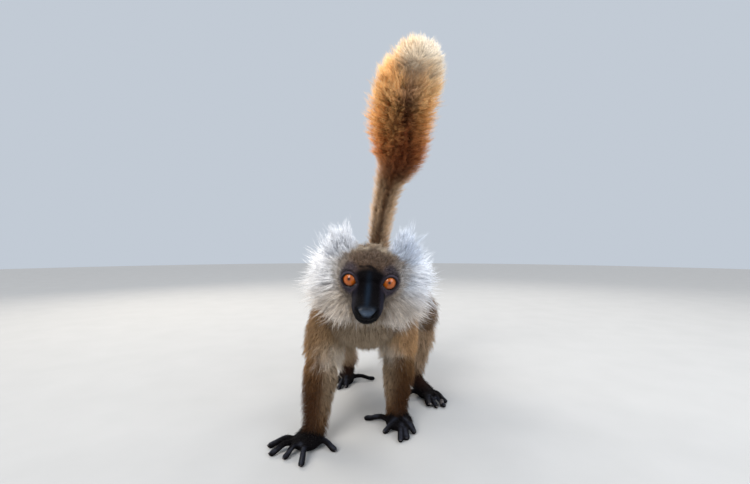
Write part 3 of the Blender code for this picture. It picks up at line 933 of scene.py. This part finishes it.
def body_markings():
    """Colour of the coat on trunk and limbs."""
    tint = np.array([COLOURS.get(kind, BLACK) for kind in kinds])
    share, trunk, shank = bone_share, on(*TRUNK_NODES), on("shank")
    upper, fore = on("upper_arm"), on("forearm")
    arm = upper | fore
    inward, outward = ease(-0.05, 0.75, to_inside), ease(0.0, 0.7, -to_inside)
    facing = ease(0.15, 0.95, inward + 0.35 * skin_ahead)
    # The outer sides of the arms are a lighter gold: partly the hair's own colour, partly painted sunlight.
    gold_and_sunlight = arm * 0.6 * outward * ease(0.75, 0.5, share) * ease(0.08, 0.36, share)
    limb = arm | on("thigh") | shank
    tint = painted(
        tint,
        (PALE, trunk * 0.5 * ease(-0.2, -0.85, skin_up)),
        ((0.12, 0.058, 0.03), trunk * 0.5 * ease(0.75, 1.0, skin_up)),
        (PALE, limb * 0.7 * inward * ease(0.95, 0.7, share)),
        ((0.33, 0.185, 0.085), gold_and_sunlight),
        (COLOURS["belly"], upper * 0.75 * outward * ease(0.34, 0.06, share)),
        ((0.34, 0.22, 0.13), shank * 0.55 * outward),
        # Painted light: the cuffs are paler on the right arm and darker on the left.
        (np.array(WHITISH) * np.where(side_sign < 0, 1.45, 0.7)[:, None],
         0.95 * arm * bell(share, CUFF_AT, 0.09) * facing),
        (PALE, 0.4 * upper * facing))
    # Painted light: the upper arm on the animal's left is made lighter than the right.
    painted_sun_left_arm = 0.75 * upper * (side_sign > 0) * ease(0.05, 0.3, share)
    return painted(
        tint * (1 + painted_sun_left_arm[:, None]),
        (RUSTY, fore * (0.85 - 0.6 * inward) * ease(0.44, 0.78, share - 0.035 * side_sign)),
        (BLACK, fore * 0.8 * ease(0.88, 1.0, share)),
        ((0.22, 0.10, 0.045), shank * 0.85 * ease(0.80, 0.97, share)),
        ((0.030, 0.012, 0.007), 0.8 * on("foot") * ease(10, 22, skin_places[:, 2] / MM)))


def tail_markings():
    """Colour of the tail: pale flanks, a dark streak that is partly painted shade, a rusty brush and a
    cream tip.
    """
    share, arm = bone_share, unit(skin_places - bone_place)
    front = np.stack([np.interp(share, *STREAK_AND_SHADE_LEAN), share * 0 - 1, share * 0], axis=1)
    front = unit(front - bone_lead * (bone_lead * front).sum(axis=1)[:, None])
    turn = np.arccos(np.clip((arm * front).sum(axis=1), -1, 1))
    ragged = share + 0.012 * drift(skin_places, 0.012, 8)[:, 0]
    ragged += 0.06 * arm[:, 0] * ease(0.7, 0.88, share)
    flanks, streaks_and_shade = (np.stack([np.interp(ragged, TAIL_SHARES, c) for c in zip(*rows)], axis=1)
                       for rows in (TAIL_FLANKS, TAIL_STREAKS_AND_SHADE))
    return mix(flanks, streaks_and_shade, bell(turn, 0, np.interp(share, TAIL_SHARES, STREAK_AND_SHADE_WIDTHS)))


print("colours for", len(COLOURS), "kinds of part and", len(TAIL_SHARES), "places along the tail")

# %% Colours of the head
CHEEK, WARM_WHITE, LAVENDER = (0.275, 0.22, 0.176), (0.73, 0.63, 0.53), (0.042, 0.034, 0.046)
# How far from the head's axis the brown mask reaches, by the turn from the top of the head.
MASK_REACH = ((0, 25, 50, 70, 90, 110, 135, 150, 162, 180), (44, 40, 34, 30.5, 29, 28, 28, 32, 48, 60))
head_x, head_y, head_z = head_spot.T
aside = abs(head_x)


def head_markings(tint):
    """Brown cap, grey temples, pale cheeks and the white ruff round them."""
    x, y, z, ripple = head_x, head_y, head_z, drift(skin_places, 0.009, 4)[:, 0]
    mask = painted(
        np.array(COLOURS["head"]) + 0 * tint,
        ((0.225, 0.197, 0.178), ease(15, 28, aside + 2 * ripple)),
        (CHEEK, ease(-1, -13, z + 2 * ripple)),
        ((0.13, 0.102, 0.082), ease(-4, -10, z) * ease(23, 15, aside)),
        ((0.20, 0.147, 0.106), ease(140, 158, from_top) * ease(22, 30, head_reach)),
        ((0.52, 0.44, 0.33), 0.65 * bell(y, 24, 5) * ease(12, 20, z) * ease(1, 7, abs(x - 1))),
        (COLOURS["neck"], 0.9 * ease(26, 38, y)))
    # Painted shade: the ruff darker and bluer towards the animal's left, and the ears darker, the left one
    # more.
    left_side_shade = ease(0, 12, x)
    white = np.array(COLOURS["ruff"]) * mix(1 + 0 * tint, (0.89, 0.92, 0.96), left_side_shade)
    white = mix(white, WARM_WHITE, 0.9 * ease(98, 135, from_top))
    shaded_ear = mix((0.76, 0.78, 0.81) + 0 * tint, (0.64, 0.68, 0.74), left_side_shade)
    white = np.where(on("ear")[:, None], white * shaded_ear, white)
    edge = np.interp(from_top, *MASK_REACH) + 2.2 * ripple
    out = ease(edge - 3.5, edge + 3.5, head_reach) * ease(-14, -2, y)
    out = np.maximum(out, on("ear") * ease(12, 20, aside))
    furred = on("head", "jaw", "ear", "ruff")
    tint = np.where(furred[:, None], mix(mask, white, out), tint)
    return mix(tint, BLACK, 0.9 * furred * bell(x, 1, 3.4) * bell(y, 16, 8) * ease(18, 22, z))


def velvet_share():
    """Where the short black velvet of brow and muzzle lies."""
    ripple = drift(skin_places, 0.005, 9)
    top = 14.6 - 0.034 * (head_x + 1) ** 2 + 1.6 * ripple[:, 0]
    brow = ease(top + 2.6, top - 2.6, head_z) * ease(13.2, 8.8, aside + 1.0 * ripple[:, 1])
    brow = brow * ease(6, 0, head_y)
    snout = ease(-4, -10, head_y) * ease(17, 14, aside)
    return np.clip(np.maximum(brow, snout), 0, 1) * on("head", "muzzle", "nose", "jaw")


def bare_share():
    """Where no hair grows: eye rims, sides of the muzzle, nose, palms, fingers and toes."""
    sides = ease(-8, -14, head_y) * ease(7.5, 10.0, aside)
    bare = np.maximum(on("muzzle") * np.maximum(sides, ease(-40, -43, head_y)),
                      on("hand", "foot", "nose"))
    for side in SIDES:
        height, far, turn = round_eye(skin_places, side)
        ring = ease(10.4 - 1.4 * np.sin(turn), 8.4 - 1.4 * np.sin(turn), far) * (height > -1)
        bare = np.maximum(bare, ring)
    return bare


tint = np.where(on_tail[:, None], tail_markings(), body_markings())
tint = evened(tint, skin_links, 12, free=1.0 - on("hand", "foot", "muzzle", "nose"))
velvet, bare = velvet_share(), bare_share()
on_face = on("head", "muzzle", "jaw")
sheen_of_nose = np.exp(-((head_x / 6.5) ** 4)) * bell(head_z, -10.9, 2.0) * ease(-34, -41, head_y)
# Painted shade: the nostrils are painted nearly black in their openings.
pit = bell(aside, NOSTRIL[0], 2.6) * bell(head_z, NOSTRIL[2], 1.9) * (head_y < -36)
# The muzzle's sides take a violet tone, painted stronger on the animal's left as painted light.
flank = on("muzzle") * ease(8.0, 12.0, aside) * ease(-4, -12, head_y) * ease(-41, -35, head_y)
# A bluish stripe along the top of the muzzle is a painted reflection.
ridge_sheen = bell(head_x, -0.5, 2.3) * ease(-8, -16, head_y) * ease(-44, -38, head_y)
tint = painted(
    head_markings(tint),
    (BLACK, velvet),
    ((0.038, 0.055, 0.082), 0.75 * sheen_of_nose),
    ((0.001, 0.001, 0.001), pit),
    (LAVENDER, bare * on_face * (1 - velvet) * ease(-14, -6, head_y)),
    ((0.013, 0.012, 0.020), flank * np.where(head_x > 0, 0.85, 0.5)),
    ((0.012, 0.024, 0.043), 0.5 * ridge_sheen * (velvet > 0.5) * ease(-14, -4, head_z)))
print("bare share of the skin's points:", round(float(bare.mean()), 2))

# %% The skin's finish
def point_colours(mesh, name, values):
    full = np.ones((len(values), 4), np.float32)
    full[:, :3] = values
    mesh.color_attributes.new(name, "FLOAT_COLOR", "POINT").data.foreach_set("color", full.ravel())


wet = 0.08 * ease(-37, -42, head_y) * ease(10.0, 7.0, aside) * (on_face | on("nose"))
wet *= 1 - 0.7 * ease(-11.5, -13.5, head_z)
for side in SIDES:
    height, far, turn = round_eye(skin_places, side)
    gap, rise = far - lid_edge(turn), np.sin(turn)
    rim = (height > 0) * ease(1.9, 0.8, gap)
    wet = np.maximum(wet, 0.35 * rim * (far < 9))
    shaded = (height > -2) * ease(11.5, 8.0, far) * ease(0.25, -0.5, np.cos(turn) + 0.5 * rise)
    around = far + 3.4 * np.cos(turn).clip(0) - 1.5 * abs(rise)
    smoky = (height > -4) * ease(14.5, 10.5, around) * (1 - velvet)
    # Painted shade: the crease over each upper lid is also painted dark.
    crease = bell(gap, FOLD_AT, 0.5) * rise.clip(0) * (height > -1)
    tint = painted(
        tint,
        ((0.006, 0.004, 0.005), rim * (far < 9.5)),
        ((0.028, 0.023, 0.032), 0.8 * shaded * on_face * (gap > 0.8)),
        (LAVENDER, 0.85 * smoky * on_face * ease(1.0, 2.2, gap)),
        (BLACK, 0.8 * crease * on_face))
wrist_gap = np.zeros(len(kinds))  # how far out along the hand or foot, in mm
for side in SIDES:
    for _, lower, end in LIMBS:
        wrist = np.array(end_of(f"{lower}_{side}", DOWN, 0.08))
        away = np.linalg.norm((skin_places - wrist)[:, :2], axis=1) / MM
        wrist_gap = np.where(on(end) & (side_sign == SIDES[side]), away, wrist_gap)
near_digit, next_digit = near_digits(skin_places)
# The tops of fingers and toes are painted lighter and bluer, as a painted sheen, and made glossier.
digit_top_sheen = ease(-0.1, 0.6, skin_up) * bell(near_digit, 0, 2.6)
digit_top_sheen *= on("hand", "foot") * ease(0.4, 2.0, next_digit - near_digit)
patchy = (1 + 0.5 * drift(skin_places, 0.006, 12)[:, 0]).clip(0, 1.4)
tint = mix(tint, (0.017, 0.019, 0.028), 0.8 * digit_top_sheen * patchy)
wet = evened(np.maximum(wet, 0.12 * digit_top_sheen)[:, None], skin_links, 2)[:, 0]
point_colours(skin_mesh, "tint", tint)
for name, values in (("bare", np.maximum(bare, velvet)), ("wet", wet), ("digit_reach", wrist_gap)):
    made = skin_mesh.attributes.new(name, "FLOAT", "POINT")
    made.data.foreach_set("value", values.astype(np.float32))

hide, tree, shader = new_material("lemur_hide", Coat_Roughness=0.32, Specular_IOR_Level=0.03)
unevenness = uneven(tree, shader, attribute(tree, "tint", "Color"), 900.0, 0.55)
wetness, digit_reach = attribute(tree, "wet"), attribute(tree, "digit_reach")
link_in(shader, "Coat Weight", wetness)
dull = mapped(tree, attribute(tree, "bare"), To_Min=0.9, To_Max=0.58)
gloss = mapped(tree, wetness, To_Min=1.0, To_Max=0.5)
link_in(shader, "Roughness", worked(tree, "Math", "MULTIPLY", dull, gloss))
spot = add_node(tree, "TexCoord").outputs["Object"]
pores = add_node(tree, "TexVoronoi", Vector=spot, Scale=1100.0).outputs["Distance"]
pitted = worked(tree, "Math", "ADD", unevenness, pores)
reach = worked(tree, "Math", "MULTIPLY", digit_reach, 2.6)
rings = worked(tree, "Math", "SINE", worked(tree, "Math", "MULTIPLY_ADD", unevenness, 5.0, reach))
on_digit = mapped(tree, digit_reach, From_Min=12.0, From_Max=24.0, To_Max=0.6)
bumped(tree, shader, worked(tree, "Math", "MULTIPLY_ADD", rings, on_digit, pitted), 0.6, 0.0008)
skin_mesh.materials.clear()
skin_mesh.materials.append(hide)
print("skin painted")

# %% [markdown]
# ## The coat
#
# Particle hair would be the usual way, but it only exists in a renderer. Here each tuft is a
# small solid: a three-sided spike of a few faces, rooted just under the skin, that leaves it
# steeply and bends over to lie along the coat. Their points are worked out for a whole piece at
# once as arrays, because a hundred thousand spikes would take too long one by one. Neighbouring
# tips are drawn together into locks, which is what makes fur look like fur.

# %% The lie of the hair
FACE_FRONT = np.array([0.0, -46.0, -14.0])  # the nose, in the head's millimetres
FAN_BACK = 0.18  # how far the ruff's hair leans backwards


def lie_of_hair():
    """The way the hair lies at every point of the skin."""
    lead = bone_lead + np.outer(on(*TRUNK_NODES) * 0.45, DOWN)
    lead = mix(lead, (0, -0.15, -1), ease(0.2, 0.8, skin_ahead) * on("chest", "neck"))
    lead = lead + np.outer(on("upper_arm", "thigh") * 0.35, BACK)
    out = unit((head_spot - FACE_FRONT) * (1, 0.8, 1))
    fan_out = unit(from_axis(head_spot)) + (0, FAN_BACK, 0)
    side_way = mix(out, fan_out, 0.65 * ease(14, 28, head_reach))
    ear_way = np.stack([0.07 + 0.20 * side_sign, 0.12 + 0 * side_sign, 1.0 + 0 * side_sign], axis=1)
    on_head = on("head", "muzzle", "jaw", "nose")
    for where, way in ((on_head, side_way), (on("ruff"), fan_out), (on("ear"), ear_way)):
        lead[where] = from_head(unit(way))[where] / MM
    lead = mix(lead, (0, 0.75, -0.65), on_head * ease(22, 32, head_y))
    lead = mix(lead, (0.13, -0.02, 1.0), 0.95 * (ease(0.72, 0.92, bone_share) * on_tail))
    return unit(evened(unit(lead), skin_links, 10))


hair_lie = lie_of_hair()
at_tip = ease(0.74, 0.90, bone_share) * on_tail
hair_rise = skin_normals.copy()  # the way hair leaves the skin: not forwards at the tail's end
hair_rise[:, 0] *= 1 + 0.2 * at_tip
hair_rise[:, 1] *= 1 - 0.9 * at_tip
hair_rise[:, 2] *= np.where(hair_rise[:, 2] < 0, 1 - at_tip, 1)
face_corners = read_out(skin_mesh.polygons, "vertices", 3, np.int32)
a, b, c = skin_places[face_corners].transpose(1, 0, 2)
face_areas = np.linalg.norm(np.cross(b - a, c - a), axis=1) / 2
print("skin area", round(float(face_areas.sum()) * 1e4), "square centimetres")

# %% Length and thickness of the hair
HAIR = {  # kind: (length, half thickness) in mm
    "rump": (19, 0.50), "belly": (19, 0.50), "chest": (17, 0.46), "neck": (18, 0.44),
    "upper_arm": (15, 0.42), "forearm": (11.5, 0.36), "hand": (5.0, 0.26), "thigh": (19, 0.48),
    "shank": (21, 0.42), "foot": (5.0, 0.26), "tail_root": (16, 0.44), "tail_stem": (19, 0.42),
    "tail_brush_lower": (34, 0.46), "tail_brush_upper": (38, 0.46), "tail_tip": (18, 0.42),
    "head": (5.0, 0.29), "muzzle": (1.6, 0.16), "jaw": (4.0, 0.22), "nose": (1.0, 0.15),
    "ear": (21, 0.27), "ruff": (21, 0.30),
}
hair_length = np.array([HAIR[kind][0] for kind in kinds], float)[:, None]
hair_half = np.array([HAIR[kind][1] for kind in kinds], float)[:, None]
TAIL_HAIR = ((0, 0.18, 0.30, 0.42, 0.50, 0.60, 0.80, 0.90, 1.0), (16, 20, 24, 28, 36, 41, 42, 33, 23))
# How much of its length the ruff's hair keeps, by degrees from the top of the head.
FAN_HAIR = ((0, 33, 39, 50, 90, 115, 140, 160, 180), (0.3, 0.35, 1.0, 1.0, 0.90, 1.30, 1.3, 0.8, 0.65))
hair_length = np.where(on_tail[:, None], np.interp(bone_share, *TAIL_HAIR)[:, None], hair_length)
blends = 1.0 - on("head", "muzzle", "jaw", "nose", "hand", "foot")
hair_length = evened(hair_length, skin_links, 10, free=blends)[:, 0]
hair_half = evened(hair_half, skin_links, 10, free=blends)[:, 0]
grown = ease(12, 30, head_y) * ease(18, 30, head_reach) * (0.12 + 0.88 * ease(35, 70, from_top))
grown = np.maximum(grown, 0.9 * ease(26, 38, head_y))
skull_length = 2.6 + 3.2 * ease(-4, 12, head_y) + 8 * grown
hair_length = np.where(on("head", "jaw"), skull_length, hair_length)
hair_length = np.where(velvet > 0.5, np.minimum(hair_length, 1.7), hair_length)
inner_side = ease(0.0, 0.7, to_inside) * ease(70, 40, from_top)
fan_length = hair_length * (1 - 0.7 * inner_side) * np.interp(from_top, *FAN_HAIR)
fan_length *= 0.62 + 0.38 * ease(29, 37, head_reach)
hair_length = np.where(on_fan, fan_length, hair_length)
backs = ease(27, 13, wrist_gap) * ease(-0.3, 0.2, skin_up)
risen = ease(9, 17, skin_places[:, 2] / MM)
hairy = np.where(on("hand", "foot"), np.maximum(backs, risen), (1 - bare).clip(0, 1))
print("hair from", round(float(hair_length.min()), 1), "to", round(float(hair_length.max()), 1), "mm")

# %% Planting roots
def plant(where, count):
    """Roots spread over the skin's faces, as close as where says. Returns values at the roots
    of anything known at the skin's points."""
    weight = face_areas * where[face_corners].mean(axis=1)
    marks = (np.arange(count) + rng.random(count)) * weight.sum() / count
    found = np.minimum(np.searchsorted(np.cumsum(weight), marks), len(weight) - 1)
    a, b = np.sqrt(rng.random(count)), rng.random(count)
    shares = np.stack([1 - a, a * (1 - b), a * b], axis=1)
    corners = face_corners[found]

    def at_roots(values):
        picked = values[corners]
        return np.einsum("ij,ij...->i...", shares, picked)

    return at_roots


PATCH = 0.003  # size of each tuft's patch in its OFBake map
END_WIDTH, FLATNESS = 0.55, 0.7  # of a tuft, as shares of its width at the root


def write_tufts(name, rings, tips, sideways, upward, half, tints, spots):
    """One mesh of closed three-sided spikes. rings are the middles of the cross-sections."""
    count, levels = len(tips), len(rings)
    per_tuft = 3 * levels + 1
    points = np.empty((count, per_tuft, 3))
    colours = np.empty((count, per_tuft, 3), np.float32)
    taper = np.linspace(1.0, END_WIDTH, levels)
    for level, (centre, across, rise) in enumerate(zip(rings, sideways, upward)):
        reach = half[:, None] * taper[level]
        for corner in range(3):
            angle = math.pi / 2 + corner * 2 * math.pi / 3
            offset = across * math.cos(angle) * reach + rise * math.sin(angle) * reach * FLATNESS
            points[:, 3 * level + corner] = centre + offset
        colours[:, 3 * level : 3 * level + 3] = tints[level][:, None, :]
    points[:, -1], colours[:, -1] = tips, tints[-1]
    faces = [(0, 2, 1)]
    for a in range(0, 3 * (levels - 1), 3):
        faces += [(a + i, a + (i + 1) % 3, a + 3 + (i + 1) % 3, a + 3 + i) for i in range(3)]
    last = 3 * (levels - 1)
    faces += [(last + i, last + (i + 1) % 3, per_tuft - 1) for i in range(3)]
    loops = np.concatenate([np.array(f) for f in faces])
    first = np.cumsum([0] + [len(f) for f in faces[:-1]])
    starts = np.arange(count)[:, None]
    mesh = bpy.data.meshes.new(name)
    mesh.vertices.add(count * per_tuft)
    mesh.vertices.foreach_set("co", points.astype(np.float32).ravel())
    mesh.loops.add(count * len(loops))
    mesh.loops.foreach_set("vertex_index", (starts * per_tuft + loops).astype(np.int32).ravel())
    mesh.polygons.add(count * len(faces))
    mesh.polygons.foreach_set("loop_start", (starts * len(loops) + first).astype(np.int32).ravel())
    mesh.update(calc_edges=True)
    mesh.shade_smooth()
    point_colours(mesh, "tint", colours.reshape(-1, 3))
    level_of = np.append(np.repeat(np.arange(levels), 3), levels)[loops] / levels
    corner_of = np.append(np.tile(np.arange(3), levels), 1)[loops] / 2
    uv = np.empty((count, len(loops), 2), np.float32)
    uv[:, :, 0] = spots[:, :1] + (corner_of - 0.5) * PATCH
    uv[:, :, 1] = spots[:, 1:] + (level_of - 0.5) * PATCH
    mesh.uv_layers.new(name="OFBake").data.foreach_set("uv", uv.ravel())
    mesh.validate()
    return mesh


def coat_paint(name, roughness, specular, sheen):
    """The finish of one kind of hair. Its colour comes from the skin at each root."""
    material, tree, shader = new_material(name, Roughness=roughness, Specular_IOR_Level=specular,
                                          Sheen_Weight=sheen, Sheen_Roughness=0.4)
    height = uneven(tree, shader, attribute(tree, "tint", "Color"), 700.0, 0.6)
    bumped(tree, shader, height, 0.3, 0.0002)
    return material


coat_material = coat_paint("lemur_coat", 0.60, 0.08, 0.03)
velvet_material = coat_paint("lemur_velvet", 0.38, 0.04, 0.0)
print("hair finishes:", coat_material.name, "and", velvet_material.name)

# %% Growing one piece of the coat
QUICK_SHARE = 1.0
RING_SHARES = {2: (0.45, 0.55), 3: (0.3, 0.35, 0.35)}  # of a tuft's length, by its rings
ROOT_SUNK = 0.4  # mm under the skin
coat_faces = []


def lock_of(roots, size):
    """Numbers the small cells of the coat that the roots fall in."""
    cell = np.floor(roots / size + drift(roots, size * 3, 5) * 0.5).astype(np.int64)
    _, lock = np.unique(cell @ np.array([1, 10_007, 10_007**2]), return_inverse=True)
    return lock.ravel()


def gathered(lock, tips, pull):
    """Draws the tips of each lock towards their mean."""
    members = np.bincount(lock)
    mean = np.stack([np.bincount(lock, column) / members for column in tips.T], axis=1)
    return tips + pull * (mean[lock] - tips)


def grow(name, where, count, lift, spot_of, length=hair_length, half=hair_half, levels=2,
         gather=0.3, lock_size=5.0, stray=0.13, lock_lean=0.16, speckle=0.13,
         tip_tint=(0.5, 0.4, 0.3), tip_share=0.25, root_shade=0.6, shortest=0.8, paint=coat_material,
         slot="coat_brown"):
    """Grows one piece of the coat. where, length and half thickness (mm) are given at the skin's
    points, and lift is the lean from the skin at root and tip, in degrees."""
    count = int(count * QUICK_SHARE)
    at = plant(where, count)
    root, normal, lead = at(skin_places), unit(at(skin_normals)), unit(at(hair_lie))
    rise = at(hair_rise)
    lock = lock_of(root, lock_size * MM)
    groups = lock.max() + 1
    size = at(length) * rng.uniform(0.78, 1.14, groups)[lock] * rng.uniform(shortest, 1.15, count) * MM
    thick = at(half) * rng.uniform(0.75, 1.2, count) * MM
    lead = lead + drift(root, 0.030, 3) * 0.2 + rng.normal(size=(count, 3)) * stray
    lead = lead + rng.normal(size=(groups, 3))[lock] * lock_lean
    lead = unit(lead - normal * np.minimum((lead * normal).sum(axis=1), 0)[:, None])
    slopes = [math.tan(math.radians(a)) for a in np.linspace(*lift, levels)]
    centre = root - normal * ROOT_SUNK * MM
    rings, ways = [], []
    for step, slope in zip(RING_SHARES[levels], slopes):
        way = unit(lead + rise * slope * rng.uniform(0.8, 1.25, count)[:, None])
        rings.append(centre)
        ways.append(way)
        centre = centre + way * (size * step)[:, None]
    tips = gathered(lock, centre, gather)
    sideways = [unit(np.cross(normal + 0.3 * rng.normal(size=(count, 3)), way)) for way in ways]
    upward = [unit(np.cross(way, across)) for way, across in zip(ways, sideways)]
    shade = rng.normal(1.0, speckle, count) * rng.normal(1.0, 0.6 * speckle, groups)[lock]
    base = at(tint) * shade.clip(0.4, 1.9)[:, None]
    tints = [base * share for share in np.linspace(root_shade, 1.0, levels)]
    lit = tip_share * (base.mean(axis=1) / 0.14).clip(0.08, 1)  # dark fur keeps dark tips
    tints.append(mix(base * 1.2, np.array(tip_tint), lit))
    mesh = write_tufts(name, rings, tips, sideways, upward, thick, tints, spot_of(root))
    mesh.materials.append(paint)
    piece = put_in_scene(name, mesh)
    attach(piece, "root")
    coat_faces.append(count * (6 * levels - 2))
    print(f"{name}: {count} tufts, {coat_faces[-1]} triangles")


print("share of the tufts to be grown:", QUICK_SHARE)

# %% Unwraps for the coat's maps
def on_map(across, up):
    """Places in the unit square, a little in from its edges."""
    return np.stack([0.01 + 0.98 * across, 0.01 + 0.98 * up], axis=1)


def round_line(line):
    """Unrolls a limb, trunk or tail: across the map goes the turn, up it the way along."""
    def spots(points):
        place, lead, share = nearest_on(line, points)
        arm = points - place
        first = unit(np.cross(lead, (1.0, 0.05, 0.0)))
        turn = np.arctan2((arm * np.cross(lead, first)).sum(axis=1), (arm * first).sum(axis=1))
        return on_map(turn / (2 * math.pi) + 0.5, share)
    return spots


def round_head(points):
    """Unrolls the head like a globe seen from its middle."""
    arm = unit(head_view(points) - (0, 12, -6))
    turn = np.arctan2(arm[:, 0], -arm[:, 1])
    return on_map(turn / (2 * math.pi) + 0.5, np.arcsin(np.clip(arm[:, 2], -1, 1)) / math.pi + 0.5)


def over_fan(points):
    """Unrolls the ruff: across goes the turn round the face, up it from the front to the back."""
    x, y, z = head_view(points).T
    turn = np.arctan2(abs(x), z - HEAD_AXIS_Z) / math.pi
    reach = np.clip((np.hypot(x, z - HEAD_AXIS_Z) - 22) / 30, 0, 1)
    return on_map(turn, np.where(y < FAN_MIDDLE, 0.5 * reach, 1 - 0.5 * reach))


print("unwraps: round a bone line, round the head and over the ruff")

# %% Growing every piece
GOLD, IVORY, FLAME, DUSK = (0.42, 0.27, 0.13), (0.92, 0.92, 0.93), (0.74, 0.38, 0.14), (0.40, 0.22, 0.09)
CREAM, CUFF_WHITE, CROWN_TIP = (0.90, 0.66, 0.44), (0.86, 0.80, 0.72), (0.40, 0.32, 0.22)


def part_mask(*names, side=None):
    """Where hair grows on these kinds of part, on one side or on both."""
    return on(*names) * (side is None or side_sign == SIDES[side]) * hairy


trunk_map, tail_map = round_line(trunk_line), round_line(tail_line)
white = dict(tip_tint=IVORY, root_shade=1.0, levels=3, slot="coat_white")
grow("coat_back", part_mask("rump", "belly"), 10500, (42, 14), trunk_map, tip_tint=GOLD)
grow("coat_chest", part_mask("chest", "neck"), 11500, (42, 14), trunk_map)
for side in SIDES:
    arm_map, leg_map = (round_line(lines[f"{lower}_{side}"]) for _, lower, _ in LIMBS)
    grow(f"coat_arm_{side}", part_mask("upper_arm", "forearm", "hand", side=side), 10000, (48, 22),
         arm_map, lock_size=4.0, tip_tint=GOLD)
    grow(f"coat_leg_{side}", part_mask("thigh", "shank", "foot", side=side), 8500, (48, 20),
         leg_map, lock_size=4.0, tip_tint=GOLD)
    elbow = part_mask("upper_arm", "forearm", side=side) * bell(bone_share, 0.42, 0.07)
    elbow *= ease(0.1, 0.7, to_inside + 0.6 * skin_ahead)
    grow(f"cuff_{side}", elbow, 1000, (40, 26), arm_map, 22 + 0 * hair_length, hair_half * 0.9,
         lock_lean=0.3, gather=0.45, tip_tint=CUFF_WHITE, tip_share=0.6, slot="coat_white")
    fan = part_mask("ear", "ruff", side=side)
    grow(f"coat_ruff_{side}", fan, 9400, (30, 10), over_fan, lock_lean=0.14, lock_size=4.5,
         tip_share=0.4, shortest=0.45, **white)
    grow(f"wisps_{side}", fan * ease(33, 38, head_reach), 1100, (28, 10), over_fan, hair_length * 1.5,
         stray=0.16, lock_lean=0.38, gather=0.45, lock_size=6.0, shortest=0.5, tip_share=0.5, **white)
grow("coat_tail_stem", part_mask("tail_root", "tail_stem"), 8000, (62, 42), tail_map,
     tip_tint=DUSK, tip_share=0.18, slot="coat_tail")
grow("coat_brush_lower", part_mask("tail_brush_lower"), 8500, (68, 48), tail_map, levels=3,
     stray=0.18, lock_lean=0.25, gather=0.35, lock_size=6.0, shortest=0.65, tip_tint=FLAME,
     root_shade=0.85, slot="coat_tail")
grow("coat_brush_upper", part_mask("tail_brush_upper", "tail_tip"), 9500, (64, 40), tail_map,
     levels=3, stray=0.2, lock_lean=0.24, gather=0.4, lock_size=7.0, shortest=0.6,
     tip_tint=CREAM, tip_share=0.12, root_shade=0.9, slot="coat_tail")
on_skull = on("head", "jaw", "muzzle") * hairy
grow("coat_crown", on_skull * (velvet < 0.5), 14000, (45, 20), round_head, lock_size=2.2,
     gather=0.25, speckle=0.4, tip_tint=CROWN_TIP, tip_share=0.3, slot="coat_crown")
grow("coat_velvet", on_skull * (velvet > 0.5), 5500, (40, 15), round_head, half=0.18 + 0 * hair_half,
     lock_size=1.2, gather=0.1, tip_tint=(0.02, 0.02, 0.025), paint=velvet_material,
     slot="bare_skin")
print("coat:", sum(coat_faces), "triangles")

# %% [markdown]
# ## Nails
#
# A lemur's fingers and toes end in small flat nails. Each is a flattened ball, bent over the
# finger's end and set on top of it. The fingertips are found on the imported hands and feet, as
# the places that reach furthest from the wrist, so a nail sits right whatever the pose.

# %% Finding fingertips and setting nails
def make_nails(name):
    bm = bmesh.new()
    for tip, way, thick in digits[name]:
        top = unit(np.array(UP) - way * way[2])
        ball = bmesh.ops.create_uvsphere(bm, u_segments=14, v_segments=8, radius=1.0)["verts"]
        for vert in ball:
            x, y, z = vert.co
            vert.co = Vector((x * 0.72, y * 1.05, z * 0.2 - 0.32 * x * x - 0.3 * max(y, 0) ** 2))
        turn = Matrix((np.cross(way, top), way, top)).transposed().to_4x4()
        place = Matrix.Translation(tip - way * thick * 1.0 + top * thick * 0.66)
        bmesh.ops.transform(bm, matrix=place @ turn @ Matrix.Scale(thick, 4), verts=ball)
    bmesh.ops.recalc_face_normals(bm, faces=bm.faces)
    piece = put_in_scene(f"nails_{name}", mesh_of(bm, f"nails_{name}"))
    piece.data.shade_smooth()
    piece.data.materials.append(horn)
    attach(piece, "root")
    return piece


horn, tree, shader = new_material("nail_horn", Roughness=0.38)
bumped(tree, shader, uneven(tree, shader, (0.050, 0.042, 0.042, 1), 1500.0, 0.8), 0.2, 0.0001)
for name in digits:
    print(make_nails(name).name, len(digits[name]), "nails")
